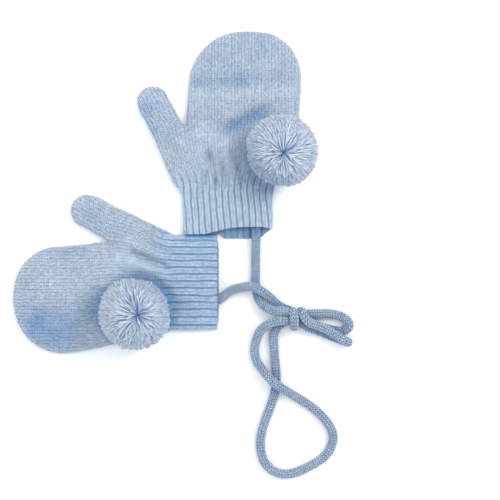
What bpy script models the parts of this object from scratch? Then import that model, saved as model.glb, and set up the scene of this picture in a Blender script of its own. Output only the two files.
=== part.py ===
"""A pair of knitted baby mittens lying flat, joined by one knitted cord with a knot in it.

Sizes are in millimetres and become metres when a mesh is made. Each mitten is drawn in its own
plane: "across" grows away from the thumb and "along" grows from the mouth of the cuff to the tip.
"""

from math import cos, pi, radians, sin

import bmesh
import bpy
import numpy as np
from mathutils import Matrix, Vector

MM = 0.001
GAP = 0.3  # clearance between touching pieces

WALL = 1.6  # one layer of knitting
EDGE_RADIUS = 3.2  # how the fabric rolls over at a side fold
PUFF_SPREAD = 7.0  # distance over which the top layer rises in from an edge
HAND_PUFF = 4.0  # extra height in the middle of the hand
CUFF_PUFF = 2.8
PUFF_FULL_AT = 60.0  # along, where the hand's full puff is reached
BASE_TAPER = 0.55  # how fast the thumb narrows behind its base, to meet the cuff's corner
BURIED_TO = 6.0  # behind its base, where the thumb starts to rise out of the hand
BURIED_OVER = 16.0
THUMB_START = -4.0  # the thumb's outside starts behind its base, inside the hand

CUFF_LENGTH = 27.0
CUFF_WALL = 2.0
RIBS_AROUND = 30
POINTS_PER_RIB = 3
RIB_DEPTH = 0.9
HEM_BLEND_FROM = 1.0  # height at which the back layer's hem starts to turn into the front layer's

HAND_RINGS = 17
TIP_RINGS = 7
THUMB_RINGS = 9
TOP_POINTS = 16
BOTTOM_POINTS = 8
THUMB_TOP_POINTS = 12
THUMB_BOTTOM_POINTS = 6
OUTLINE_START = -10.0
OUTLINE_SIDE_POINTS = 90
OUTLINE_TIP_POINTS = 60
SECTION_POINTS = 720
HOLLOW_OVERSHOOT = 6.0  # the hollow starts before the outside, so that the cuff end is open

THUMB_BOX_OUT = 20.0  # reach of the box round the thumb, past its outer side and its tip
THUMB_BOX_FLOOR = -5.0
THUMB_BOX_TOP = 25.0
THUMB_BOX_MARGIN = 0.2

POMPOM_RADIUS = 22.0
POMPOM_LIFT = 18.6  # centre above the flat patch where the pompom is pressed on the mitten
POMPOM_SEAT = 11.0  # height of that patch
POMPOM_SEGMENTS = 26
POMPOM_RINGS = 14

CORD_RADIUS = 2.95
CORD_BULGE = 3.4  # how far the cord lifts the cuff's front layer
CORD_BULGE_WIDTH = 5.5
CORD_BULGE_END = 28.6  # along, where the cord's bulge has faded out
CORD_BULGE_FADE = 22.0

YARN = (0.46, 0.60, 0.80, 1.0)
YARN_POMPOM = (0.52, 0.65, 0.82, 1.0)
SHARP_ANGLE = 50.0

SIDE_COLUMNS = ("along", "left", "right")
FOLD_COLUMNS = ("across_start", "along_start", "across_end", "along_end", "half_width", "depth")

UPPER = {
    "name": "upper",
    "mirror": 1,
    "turn": 0.0,
    "mouth": (40.5, -27.6),
    "tip_along": 129.6,
    "wide_along": 98.6,
    "half_width": 35.4,
    "tip_powers": (2.5, 1.8),
    "wide_centre": 10.9,
    "tip_centre": 13.3,
    "sides": (
        (-10.0, -28.5, 28.5),
        (23.5, -28.5, 28.5),
        (27.5, -30.2, 28.8),
        (31.5, -32.0, 30.2),
        (38.5, -27.0, 33.6),
        (45.0, -24.0, 36.5),
        (51.0, -23.8, 38.7),
        (57.5, -24.5, 40.9),
        (65.0, -26.0, 43.0),
        (73.0, -27.0, 45.0),
        (81.0, -26.0, 45.4),
        (88.5, -25.4, 46.0),
        (98.6, -24.5, 46.3),
    ),
    "thumb_base": (-23.6, 36.6),
    "thumb_tip": (-47.6, 85.0),
    "thumb_half_widths": (12.1, 9.8),
    "thumb_seam": 20.0,
    "folds": (
        (-13.0, 29.0, -9.0, 46.0, 2.6, 1.1),
        (-4.0, 29.0, -5.0, 44.0, 2.6, 1.1),
        (6.0, 29.0, 3.0, 52.0, 3.4, 1.2),
        (-26.0, 97.0, 46.0, 99.0, 5.0, 0.7),
    ),
    "front_hem": ((-28.5, 1.0), (-8.0, 1.4), (10.0, 3.2), (20.0, 5.0), (28.5, 4.6)),
    "back_hem": ((-28.5, 1.0), (-5.4, 1.0), (-1.5, -2.4), (19.0, -2.4), (28.5, 4.6)),
    "pompom": (33.4, 52.1),
    "cord_across": 17.8,
}

LOWER = {
    "name": "lower",
    "mirror": -1,
    "turn": 90.0,
    "mouth": (34.2, -57.3),
    "tip_along": 130.0,
    "wide_along": 98.9,
    "half_width": 33.9,
    "tip_powers": (2.15, 2.1),
    "wide_centre": 11.1,
    "tip_centre": 10.1,
    "sides": (
        (-10.0, -30.2, 30.4),
        (24.0, -30.2, 30.4),
        (27.5, -30.8, 30.4),
        (32.5, -32.6, 31.2),
        (38.0, -27.0, 32.8),
        (43.0, -22.4, 34.4),
        (48.0, -21.0, 35.6),
        (58.0, -21.5, 37.8),
        (68.0, -24.0, 39.8),
        (76.0, -25.5, 41.8),
        (84.0, -24.1, 43.1),
        (91.5, -23.5, 44.4),
        (98.9, -22.8, 45.0),
    ),
    "thumb_base": (-23.0, 39.7),
    "thumb_tip": (-45.3, 83.1),
    "thumb_half_widths": (11.8, 10.4),
    "thumb_seam": 13.2,
    "folds": (
        (-28.0, 74.0, -11.0, 41.0, 2.6, 1.2),
        (-16.0, 47.0, -24.0, 32.0, 2.4, 1.0),
        (14.0, 30.0, 10.0, 44.0, 3.0, 1.0),
        (26.0, 104.0, 36.0, 62.0, 6.0, 0.9),
    ),
    "front_hem": ((-30.2, 1.0), (0.0, 1.0), (30.4, 1.0)),
    "back_hem": ((-30.2, 1.0), (-20.0, 0.0), (20.0, 0.0), (30.4, 1.0)),
    "pompom": (19.3, 51.5),
    "cord_across": 12.0,
}

# The cord's routes: across the surface in x and y, and height, for its centre line.
LEAD_UPPER = (
    (58.3, -18.6, 5.3),
    (58.3, -27.0, 5.4),
    (58.2, -32.6, 5.1),
    (58.1, -39.5, 3.5),
    (58.0, -50.0, 3.05),
    (58.0, -58.5, 3.05),
    (59.3, -65.6, 3.9),
    (62.0, -70.7, 6.1),
    (66.4, -73.9, 8.2),
    (71.4, -75.2, 9.2),
    (76.9, -75.4, 9.4),
)
LEAD_LOWER = (
    (25.0, -69.4, 5.3),
    (33.5, -68.9, 5.4),
    (37.8, -66.2, 4.5),
    (42.4, -62.4, 4.9),
    (48.6, -60.5, 7.2),
    (55.5, -59.9, 9.4),
    (61.5, -62.5, 9.0),
    (67.2, -66.9, 5.9),
    (71.8, -71.6, 3.5),
    (76.9, -74.4, 3.05),
)
LONG_LOOP = (
    (76.9, -81.5, 9.4),
    (72.4, -81.5, 9.3),
    (67.0, -83.2, 8.6),
    (62.0, -86.8, 6.6),
    (59.0, -92.6, 4.0),
    (57.3, -99.6, 3.05),
    (58.4, -106.6, 3.4),
    (61.6, -111.4, 5.4),
    (67.3, -118.4, 9.4),
    (74.8, -124.4, 6.8),
    (84.8, -130.7, 3.3),
    (94.4, -137.0, 3.05),
    (102.4, -144.8, 3.05),
    (106.9, -152.8, 3.05),
    (106.6, -160.2, 3.05),
    (102.0, -167.6, 3.05),
    (92.6, -173.7, 3.05),
    (83.5, -177.8, 3.05),
    (75.9, -178.9, 3.05),
    (68.2, -176.3, 3.05),
    (62.7, -169.4, 3.05),
    (61.0, -159.2, 3.05),
    (62.6, -149.6, 3.05),
    (66.4, -139.0, 3.05),
    (69.6, -129.4, 3.05),
    (71.1, -120.4, 3.05),
    (70.8, -111.0, 3.05),
    (69.7, -99.0, 3.05),
    (69.7, -90.4, 3.05),
    (72.4, -84.8, 3.05),
    (76.9, -82.2, 3.05),
)
UPPER_BIGHT = (
    (84.0, -77.4, 9.0),
    (91.0, -77.4, 8.0),
    (98.0, -77.2, 5.0),
    (105.0, -77.2, 3.2),
    (112.0, -78.8, 3.05),
    (116.5, -81.8, 3.05),
    (117.4, -85.4, 3.05),
    (113.6, -88.0, 3.05),
    (106.0, -87.4, 3.05),
    (98.0, -85.2, 3.05),
    (91.0, -83.4, 3.6),
    (84.0, -82.0, 4.2),
)
LOWER_BIGHT = (
    (84.0, -82.8, 9.2),
    (91.0, -83.2, 9.4),
    (98.0, -84.6, 9.2),
    (104.6, -87.4, 9.0),
    (110.4, -90.7, 8.6),
    (114.6, -93.4, 7.2),
    (115.6, -94.4, 5.2),
    (112.4, -93.6, 3.2),
    (105.0, -91.0, 3.05),
    (98.0, -88.4, 3.4),
    (91.0, -86.2, 4.0),
    (84.0, -84.0, 4.4),
)
LEAD_POINTS = 14
LOOP_POINTS = 48
BIGHT_POINTS = 16
KNOT_CENTRE = (84.6, -80.4, 7.6)
KNOT_RADII = (7.0, 7.5, 7.6)
KNOT_POWER = 2.6  # above 2, so that the knot is squarer than an egg
KNOT_SEGMENTS = 20
KNOT_RINGS = 12
ROUTE_STEPS = 24  # between two of a route's own points
WELD = 1e-6


def clear_scene():
    for item in list(bpy.data.objects):
        bpy.data.objects.remove(item, do_unlink=True)


def collection_named(name):
    collection = bpy.data.collections.new(name)
    bpy.context.scene.collection.children.link(collection)
    return collection


def yarn_material(name, colour):
    material = bpy.data.materials.new(name)
    material.use_nodes = True
    shader = material.node_tree.nodes["Principled BSDF"]
    shader.inputs["Base Color"].default_value = colour
    shader.inputs["Roughness"].default_value = 0.9
    shader.inputs["Metallic"].default_value = 0.0
    return material


def smooth(rows, place, column=1):
    """The table's column at each place, on a curve with no overshoot between its rows."""
    table = np.array(rows, float)
    knots, values = table[:, 0], table[:, column]
    slopes = np.diff(values) / np.diff(knots)
    tangents = np.zeros(len(knots))
    same_way = slopes[:-1] * slopes[1:] > 0
    sums = slopes[:-1] + slopes[1:]
    sums[~same_way] = 1.0
    tangents[1:-1] = np.where(same_way, 2 * slopes[:-1] * slopes[1:] / sums, 0.0)
    place = np.clip(np.asarray(place, float), knots[0], knots[-1])
    index = np.clip(np.searchsorted(knots, place, side="right") - 1, 0, len(knots) - 2)
    span = knots[index + 1] - knots[index]
    t = (place - knots[index]) / span
    start = (1 + 2 * t) * (1 - t) ** 2 * values[index] + t * (1 - t) ** 2 * span * tangents[index]
    end = t * t * (3 - 2 * t) * values[index + 1] + t * t * (t - 1) * span * tangents[index + 1]
    return start + end


def hand_edges(mitten, along, inset=0.0):
    """Left and right edge of the hand at one distance along, moved in by inset."""
    wide = mitten["wide_along"]
    if along <= wide:
        left = float(smooth(mitten["sides"], along, SIDE_COLUMNS.index("left")))
        right = float(smooth(mitten["sides"], along, SIDE_COLUMNS.index("right")))
        return left + inset, right - inset
    reach = mitten["tip_along"] - inset - wide
    share = min((along - wide) / reach, 1.0)
    across_power, along_power = mitten["tip_powers"]
    half = (mitten["half_width"] - inset) * (1 - share**along_power) ** (1 / across_power)
    centre = mitten["wide_centre"] + (mitten["tip_centre"] - mitten["wide_centre"]) * share
    return centre - half, centre + half


def hand_places(mitten, start, inset):
    """Distances along for the hand's rings, closer together towards the tip."""
    wide, tip = mitten["wide_along"], mitten["tip_along"] - inset
    body = np.linspace(start, wide, HAND_RINGS)
    turn = np.linspace(0, pi / 2, TIP_RINGS + 1)[1:]
    return list(body) + [wide + (tip - wide) * sin(angle) for angle in turn]


def hand_outline(mitten, inset):
    """The hand's outline without its open end, as closely spaced points."""
    tip = mitten["tip_along"] - inset
    wide = mitten["wide_along"]
    turn = np.linspace(0, pi / 2, OUTLINE_TIP_POINTS)[1:]
    places = list(np.linspace(OUTLINE_START, wide, OUTLINE_SIDE_POINTS))
    places += [wide + (tip - wide) * sin(angle) for angle in turn]
    edges = [hand_edges(mitten, place, inset) for place in places]
    left = [(edge[0], place) for edge, place in zip(edges, places)]
    right = [(edge[1], place) for edge, place in zip(edges, places)]
    return np.array(left + right[::-1])


def distance_to(outline, points):
    """Shortest distance from each point to the outline's line."""
    starts, ends = outline[:-1], outline[1:]
    steps = ends - starts
    lengths = np.maximum((steps**2).sum(1), 1e-12)
    offsets = points[:, None, :] - starts[None]
    share = np.clip((offsets * steps).sum(2) / lengths, 0, 1)
    return np.sqrt(((offsets - share[..., None] * steps) ** 2).sum(2)).min(1)


def roll(distance, radius):
    """Half the thickness of a rolled edge at a distance in from it."""
    return np.sqrt(np.maximum(radius**2 - np.maximum(radius - distance, 0) ** 2, 0))


def fold_depth(mitten, across, along):
    depth = np.zeros(len(across))
    for row in mitten["folds"]:
        fold = dict(zip(FOLD_COLUMNS, row))
        start = np.array((fold["across_start"], fold["along_start"]))
        line = np.array((fold["across_end"], fold["along_end"])) - start
        offset = np.column_stack((across, along)) - start
        share = offset @ line / (line @ line)
        inside = np.clip(share, 0, 1)
        off_line = np.linalg.norm(offset - inside[:, None] * line, axis=1)
        depth += fold["depth"] * np.exp(-((off_line / fold["half_width"]) ** 2))
    return depth


def puff(mitten, across, along, distance):
    """How far the front layer stands above its rolled edge."""
    grown = np.clip((along - CUFF_LENGTH) / (PUFF_FULL_AT - CUFF_LENGTH), 0, 1)
    height = CUFF_PUFF + (HAND_PUFF - CUFF_PUFF) * grown * grown * (3 - 2 * grown)
    rise = 1 - np.exp(-np.maximum(distance - EDGE_RADIUS, 0) / PUFF_SPREAD)
    over_cord = np.exp(-(((across - mitten["cord_across"]) / CORD_BULGE_WIDTH) ** 2))
    fading = np.clip((CORD_BULGE_END - along) / CORD_BULGE_FADE, 0, 1)
    folded = height - fold_depth(mitten, across, along)
    return folded * rise + CORD_BULGE * over_cord * fading


def layers(mitten, across, along, distance, inset):
    """Heights of the front and the back layer's faces, at points this far in from the outline."""
    half = roll(distance, EDGE_RADIUS - inset)
    front = EDGE_RADIUS + half + puff(mitten, across, along, distance + inset)
    return front, EDGE_RADIUS - half


def ring(mitten, left, right, along, outline, inset):
    """One closed ring of the hand at one distance along."""
    centre, half = (left + right) / 2, (right - left) / 2
    angles = np.linspace(0, pi, TOP_POINTS + 1)
    back_angles = np.linspace(pi, 2 * pi, BOTTOM_POINTS + 1)[1:-1]
    across = centre - half * np.cos(np.concatenate((angles, back_angles)))
    places = np.full(len(across), along)
    distance = distance_to(outline, np.column_stack((across, places)))
    distance[0] = distance[TOP_POINTS] = 0
    front, back = layers(mitten, across, places, distance, inset)
    height = np.where(np.arange(len(across)) <= TOP_POINTS, front, back)
    height[0] = height[TOP_POINTS] = EDGE_RADIUS
    return np.column_stack((across, places, height))


def hand_rings(mitten, start, inset):
    outline = hand_outline(mitten, inset)
    rings = []
    for along in hand_places(mitten, start, inset)[:-1]:
        left, right = hand_edges(mitten, along, inset)
        rings.append(ring(mitten, left, right, along, outline, inset))
    tip = np.array((mitten["tip_centre"], mitten["tip_along"] - inset, EDGE_RADIUS))
    return rings, tip


def thumb_axes(mitten):
    """The thumb's base, tip centre, direction to the tip and direction away from the hand's edge."""
    base, tip = (np.array(mitten[key]) for key in ("thumb_base", "thumb_tip"))
    forward = (tip - base) / np.linalg.norm(tip - base)
    return base, tip, forward, np.array((forward[1], -forward[0]))


def thumb_rings(mitten, start, inset):
    """Rings across the thumb, from start before its base to its round tip."""
    base, tip, forward, sideways = thumb_axes(mitten)
    wide, narrow = (width - inset for width in mitten["thumb_half_widths"])
    length = np.linalg.norm(tip - base)
    seam = length - mitten["thumb_seam"]
    straight = np.linspace(start, length, THUMB_RINGS)
    turn = np.linspace(0, pi / 2, TIP_RINGS)[1:-1]
    stations = []
    for place in straight:
        share = min((length - place) / (length - seam), 1)
        stations.append((place, narrow + (wide - narrow) * share - BASE_TAPER * max(-place, 0)))
    stations += [(length + narrow * sin(angle), narrow * cos(angle)) for angle in turn]
    rings = []
    for place, half in stations:
        angles = np.linspace(0, pi, THUMB_TOP_POINTS + 1)
        back_angles = np.linspace(pi, 2 * pi, THUMB_BOTTOM_POINTS + 1)[1:-1]
        lateral = -half * np.cos(np.concatenate((angles, back_angles)))
        centre = base + forward * place
        spot = centre + lateral[:, None] * sideways
        past_tip = max(place - length, 0)
        distance = half - np.abs(lateral)
        if past_tip > 0:
            distance = narrow - np.hypot(lateral, past_tip)
        distance = np.maximum(distance, 0)
        front, back = layers(mitten, spot[:, 0], spot[:, 1], distance, inset)
        risen = np.clip((place + BURIED_TO) / BURIED_OVER, 0, 1)
        flat_front = EDGE_RADIUS + roll(distance, EDGE_RADIUS - inset)
        front = flat_front + risen * (front - flat_front)
        height = np.where(np.arange(len(lateral)) < len(angles), front, back)
        height[0] = height[len(angles) - 1] = EDGE_RADIUS
        rings.append(np.column_stack((spot, height)))
    end = base + forward * (length + narrow)
    return rings, np.array((end[0], end[1], EDGE_RADIUS))


def placed(mitten, points):
    """Points of the mitten's own plane, as a mesh in metres, mirrored for the other hand."""
    return [Vector((mitten["mirror"] * x, y, z)) * MM for x, y, z in points]


def lay_down(mitten, obj):
    obj.location = (mitten["mouth"][0] * MM, mitten["mouth"][1] * MM, 0)
    obj.rotation_euler = (0, 0, radians(mitten["turn"]))


def loft(name, points_of_rings, tip=None, closed_loop=False):
    """A mesh object through rings of equal point count, with its ends capped or its loop closed."""
    mesh = bmesh.new()
    rows = [[mesh.verts.new(point) for point in points] for points in points_of_rings]
    pairs = list(zip(rows, rows[1:])) + ([(rows[-1], rows[0])] if closed_loop else [])
    count = len(rows[0])
    for lower, upper in pairs:
        for i in range(count):
            j = (i + 1) % count
            mesh.faces.new((lower[i], lower[j], upper[j], upper[i]))
    if not closed_loop:
        mesh.faces.new(rows[0])
        if tip is None:
            mesh.faces.new(rows[-1])
        else:
            point = mesh.verts.new(tip)
            for i in range(count):
                mesh.faces.new((rows[-1][i], rows[-1][(i + 1) % count], point))
    bmesh.ops.recalc_face_normals(mesh, faces=mesh.faces)
    bmesh.ops.triangulate(mesh, faces=mesh.faces)
    data = bpy.data.meshes.new(name)
    mesh.to_mesh(data)
    mesh.free()
    return bpy.data.objects.new(name, data)


def finish_part(obj, collection, material):
    obj.data.materials.clear()
    obj.data.materials.append(material)
    if obj.type == "MESH":
        obj.data.shade_smooth()
        obj.data.set_sharp_from_angle(angle=radians(SHARP_ANGLE))
    collection.objects.link(obj)


def as_cutter(obj, collection):
    obj.hide_render = True
    obj.display_type = "WIRE"
    collection.objects.link(obj)
    return obj


def boolean(obj, operation, other):
    modifier = obj.modifiers.new(operation.title(), "BOOLEAN")
    modifier.operation = operation
    modifier.solver = "EXACT"
    modifier.object = other


def thumb_box(mitten, name, grow):
    """A box that holds the thumb from its seam to past its tip."""
    base, tip, forward, sideways = thumb_axes(mitten)
    half_in = mitten["thumb_half_widths"][0] + THUMB_BOX_MARGIN + grow
    length = np.linalg.norm(tip - base)
    rings = []
    for place in (length - mitten["thumb_seam"] - grow, length + THUMB_BOX_OUT):
        centre = base + forward * place
        left, right = centre - sideways * THUMB_BOX_OUT, centre + sideways * half_in
        low = [(*side, THUMB_BOX_FLOOR) for side in (left, right)]
        high = [(*side, THUMB_BOX_TOP) for side in (right, left)]
        rings.append(placed(mitten, low + high))
    return loft(name, rings)


def hand_with_thumb(mitten, kind, inset, hand_start, thumb_start, cutters):
    """The hand and the thumb joined in one solid, this far in from the mitten's outer face."""
    pieces = []
    for part_name, (rings, tip) in (
        ("hand", hand_rings(mitten, hand_start, inset)),
        ("thumb", thumb_rings(mitten, thumb_start, inset)),
    ):
        sections = [placed(mitten, points) for points in rings]
        name = f"{mitten['name']}_{part_name}_{kind}"
        piece = as_cutter(loft(name, sections, placed(mitten, [tip])[0]), cutters)
        lay_down(mitten, piece)
        pieces.append(piece)
    hand, thumb = pieces
    boolean(hand, "UNION", thumb)
    return hand


def knitted_shell(mitten, cutters):
    """The hand and thumb as one hollow shell, open at the cuff."""
    start = CUFF_LENGTH + GAP / 2
    outside = hand_with_thumb(mitten, "outside", 0.0, start, THUMB_START, cutters)
    inside = hand_with_thumb(mitten, "inside", WALL, start - HOLLOW_OVERSHOOT, 0.0, cutters)
    boolean(outside, "DIFFERENCE", inside)
    return outside


def copy_with_modifiers(source, name):
    """A new object with the source's finished shape."""
    bpy.context.view_layer.update()
    graph = bpy.context.evaluated_depsgraph_get()
    data = bpy.data.meshes.new_from_object(source.evaluated_get(graph))
    data.name = name
    obj = bpy.data.objects.new(name, data)
    obj.matrix_world = source.matrix_world
    return obj


def make_hand_and_thumb(mitten, parts, cutters, material):
    shell = knitted_shell(mitten, cutters)
    for piece, operation, grow in (("hand", "DIFFERENCE", GAP), ("thumb", "INTERSECT", 0.0)):
        box = as_cutter(thumb_box(mitten, f"{mitten['name']}_{piece}_box", grow), cutters)
        lay_down(mitten, box)
        obj = copy_with_modifiers(shell, f"{mitten['name']}_{piece}")
        boolean(obj, operation, box)
        finish_part(obj, parts, material)


def cuff_section(mitten, along):
    """The cuff's base section at one distance along, as points at equal steps round it."""
    left, right = hand_edges(mitten, along)
    angles = np.linspace(0, 2 * pi, SECTION_POINTS + 1)[:-1]
    across = (left + right) / 2 - (right - left) / 2 * np.cos(angles)
    distance = np.minimum(across - left, right - across)
    front, back = layers(mitten, across, np.full(len(across), along), distance, 0.0)
    section = np.column_stack((across, np.where(angles <= pi, front, back)))
    loop = np.vstack((section, section[:1]))
    reach = np.concatenate(([0], np.cumsum(np.linalg.norm(np.diff(loop, axis=0), axis=1))))
    steps = np.linspace(0, reach[-1], RIBS_AROUND * POINTS_PER_RIB + 1)[:-1]
    return np.column_stack([np.interp(steps, reach, loop[:, axis]) for axis in (0, 1)])


def inward_of(section):
    """Unit directions to the inside of a closed section."""
    along_ring = np.roll(section, -1, axis=0) - np.roll(section, 1, axis=0)
    normal = np.column_stack((along_ring[:, 1], -along_ring[:, 0]))
    return normal / np.linalg.norm(normal, axis=1)[:, None]


def cuff_rings(mitten):
    """Rings down the outside and back up the inside of the ribbed tube."""
    in_groove = np.arange(RIBS_AROUND * POINTS_PER_RIB) % POINTS_PER_RIB == 0
    outside, inside = [], []
    for share in (0.0, 0.5, 1.0):
        section = cuff_section(mitten, CUFF_LENGTH * share)
        inward = inward_of(section)
        front_hem = smooth(mitten["front_hem"], section[:, 0])
        back_hem = smooth(mitten["back_hem"], section[:, 0])
        blend = (section[:, 1] - HEM_BLEND_FROM) / (2 * (EDGE_RADIUS - HEM_BLEND_FROM))
        hem = back_hem + (front_hem - back_hem) * np.clip(blend, 0, 1)
        along = hem + (CUFF_LENGTH - GAP / 2 - hem) * share
        ribbed = section + inward * (RIB_DEPTH * in_groove)[:, None]
        lining = section + inward * CUFF_WALL
        outside.append(np.column_stack((ribbed[:, 0], along, ribbed[:, 1])))
        inside.append(np.column_stack((lining[:, 0], along, lining[:, 1])))
    return outside + inside[::-1]


def make_cuff(mitten, parts, material):
    rings = [placed(mitten, points) for points in cuff_rings(mitten)]
    cuff = loft(f"{mitten['name']}_cuff", rings, closed_loop=True)
    lay_down(mitten, cuff)
    finish_part(cuff, parts, material)


def make_pompom(mitten, parts, material):
    """The pompom's reach: a ball pressed flat where it sits on the mitten."""
    mesh = bmesh.new()
    turns = {"u_segments": POMPOM_SEGMENTS, "v_segments": POMPOM_RINGS}
    bmesh.ops.create_uvsphere(mesh, radius=POMPOM_RADIUS * MM, **turns)
    cut = bmesh.ops.bisect_plane(
        mesh,
        geom=mesh.verts[:] + mesh.edges[:] + mesh.faces[:],
        plane_co=(0, 0, -POMPOM_LIFT * MM),
        plane_no=(0, 0, -1),
        clear_outer=True,
    )
    rim = [item for item in cut["geom_cut"] if isinstance(item, bmesh.types.BMEdge)]
    bmesh.ops.contextual_create(mesh, geom=rim)
    bmesh.ops.recalc_face_normals(mesh, faces=mesh.faces)
    data = bpy.data.meshes.new(f"{mitten['name']}_pompom")
    mesh.to_mesh(data)
    mesh.free()
    pompom = bpy.data.objects.new(data.name, data)
    across, along = mitten["pompom"]
    turn = Matrix.Rotation(radians(mitten["turn"]), 4, "Z")
    spot = turn @ Vector((mitten["mirror"] * across, along, 0))
    mouth = Vector((*mitten["mouth"], POMPOM_SEAT + POMPOM_LIFT))
    pompom.location = (mouth + spot) * MM
    finish_part(pompom, parts, material)


def route(points, count):
    """Points at equal steps on a smooth curve through the route's own points."""
    marks = np.array(points, float)
    padded = np.vstack((2 * marks[0] - marks[1], marks, 2 * marks[-1] - marks[-2]))
    fine = []
    for before, start, end, after in zip(padded, padded[1:], padded[2:], padded[3:]):
        for t in np.linspace(0, 1, ROUTE_STEPS, endpoint=False):
            fine.append(
                0.5 * (2 * start + (end - before) * t
                       + (2 * before - 5 * start + 4 * end - after) * t**2
                       + (3 * start - before - 3 * end + after) * t**3)
            )
    fine = np.array(fine + [marks[-1]])
    reach = np.concatenate(([0], np.cumsum(np.linalg.norm(np.diff(fine, axis=0), axis=1))))
    steps = np.linspace(0, reach[-1], count)
    return np.column_stack([np.interp(steps, reach, fine[:, axis]) for axis in range(3)])


def cord_curve(name, points, count):
    curve = bpy.data.curves.new(name, "CURVE")
    curve.dimensions = "3D"
    curve.bevel_depth = CORD_RADIUS * MM
    curve.bevel_resolution = 2
    curve.use_fill_caps = True
    spline = curve.splines.new("POLY")
    spots = route(points, count) * MM
    spline.points.add(len(spots) - 1)
    for point, spot in zip(spline.points, spots):
        point.co = (*spot, 1)
    return bpy.data.objects.new(name, curve)


def as_mesh(obj):
    """The curve's own tube as a mesh object, with its caps joined to it."""
    bpy.context.scene.collection.objects.link(obj)
    bpy.context.view_layer.update()
    graph = bpy.context.evaluated_depsgraph_get()
    data = bpy.data.meshes.new_from_object(obj.evaluated_get(graph))
    mesh = bmesh.new()
    mesh.from_mesh(data)
    bmesh.ops.remove_doubles(mesh, verts=mesh.verts, dist=WELD)
    mesh.to_mesh(data)
    mesh.free()
    solid = bpy.data.objects.new(obj.name, data)
    solid.matrix_world = obj.matrix_world
    bpy.data.objects.remove(obj)
    return solid


def make_knot(parts, cutters, material):
    """The knot's outer shape, with the two short bights that leave it."""
    mesh = bmesh.new()
    bmesh.ops.create_uvsphere(mesh, u_segments=KNOT_SEGMENTS, v_segments=KNOT_RINGS, radius=1.0)
    for vert in mesh.verts:
        size = sum(abs(value) ** KNOT_POWER for value in vert.co) ** (1 / KNOT_POWER)
        vert.co = Vector([value / size * radius * MM for value, radius in zip(vert.co, KNOT_RADII)])
    data = bpy.data.meshes.new("cord_knot")
    mesh.to_mesh(data)
    mesh.free()
    knot = bpy.data.objects.new("cord_knot", data)
    knot.location = Vector(KNOT_CENTRE) * MM
    for name, points in (("upper_bight", UPPER_BIGHT), ("lower_bight", LOWER_BIGHT)):
        bight = as_mesh(cord_curve(name, points, BIGHT_POINTS))
        boolean(knot, "UNION", as_cutter(bight, cutters))
    finish_part(knot, parts, material)


def make_cord(parts, cutters, material):
    for name, points, count in (
        ("cord_lead_upper", LEAD_UPPER, LEAD_POINTS),
        ("cord_lead_lower", LEAD_LOWER, LEAD_POINTS),
        ("cord_loop", LONG_LOOP, LOOP_POINTS),
    ):
        finish_part(cord_curve(name, points, count), parts, material)
    make_knot(parts, cutters, material)


def main():
    clear_scene()
    parts = collection_named("BabyMittens")
    cutters = collection_named("Cutters")
    knit = yarn_material("knit", YARN)
    pompom_yarn = yarn_material("pompom_yarn", YARN_POMPOM)
    cord_knit = yarn_material("cord_knit", YARN)
    for mitten in (UPPER, LOWER):
        make_hand_and_thumb(mitten, parts, cutters, knit)
        make_cuff(mitten, parts, knit)
        make_pompom(mitten, parts, pompom_yarn)
    make_cord(parts, cutters, cord_knit)


main()
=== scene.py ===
from math import cos, pi, radians, sin, sqrt

import bpy
import numpy as np
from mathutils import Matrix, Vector
from mathutils.kdtree import KDTree


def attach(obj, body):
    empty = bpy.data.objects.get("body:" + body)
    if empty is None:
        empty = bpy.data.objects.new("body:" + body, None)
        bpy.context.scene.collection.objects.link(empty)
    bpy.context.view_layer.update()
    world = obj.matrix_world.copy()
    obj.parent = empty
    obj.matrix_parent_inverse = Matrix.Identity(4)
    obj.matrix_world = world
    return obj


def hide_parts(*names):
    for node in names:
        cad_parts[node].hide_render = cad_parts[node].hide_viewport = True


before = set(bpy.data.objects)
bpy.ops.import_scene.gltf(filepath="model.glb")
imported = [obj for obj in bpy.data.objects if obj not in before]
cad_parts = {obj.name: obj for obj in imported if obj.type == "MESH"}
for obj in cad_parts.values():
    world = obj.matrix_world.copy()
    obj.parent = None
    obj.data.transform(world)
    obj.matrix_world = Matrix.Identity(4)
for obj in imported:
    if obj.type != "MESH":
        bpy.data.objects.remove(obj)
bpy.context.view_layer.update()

# all lengths are in millimetres here, and become metres when a mesh is made
mm = 0.001
bpy.ops.object.select_all(action="DESELECT")

view = {
    "over": (54.47, -36.77),  # the point that the camera is above
    "height": 1100.0,
    "clothLevel": 4.0,
    "halfWidth": 158.5,  # of what it sees at the cloth's level
    "sensor": 36.0,
    "clip": (0.01, 20.0),  # in metres
}


def addObject(name, data):
    thing = bpy.data.objects.new(name, data)
    bpy.context.scene.collection.objects.link(thing)
    return thing


def makeCamera():
    data = bpy.data.cameras.new("camera")
    data.sensor_width = view["sensor"]
    data.lens = view["sensor"] / 2 * (view["height"] - view["clothLevel"]) / view["halfWidth"]
    data.clip_start, data.clip_end = view["clip"]
    camera = addObject("camera", data)
    camera.location = [place * mm for place in (*view["over"], view["height"])]
    bpy.context.scene.camera = camera


studio = {
    "floorSize": 14.0,
    "floor": {"Base Color": (0.93, 0.93, 0.94, 1.0), "Roughness": 0.9, "Specular IOR Level": 0.1},
    "sky": {"Color": (0.87, 0.945, 1.0, 1.0), "Strength": 0.95},
    "lamps": (  # name, place in metres, size, watts, colour
        ("overhead", (0.10, 0.10, 1.7), 1.0, 6.0, (1.0, 0.96, 0.90)),
        ("key", (0.80, 0.45, 1.25), 0.5, 8.5, (1.0, 0.95, 0.89)),
        ("fill", (-0.90, 0.10, 1.10), 0.8, 3.0, (1.0, 0.95, 0.89)),
    ),
}


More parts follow.
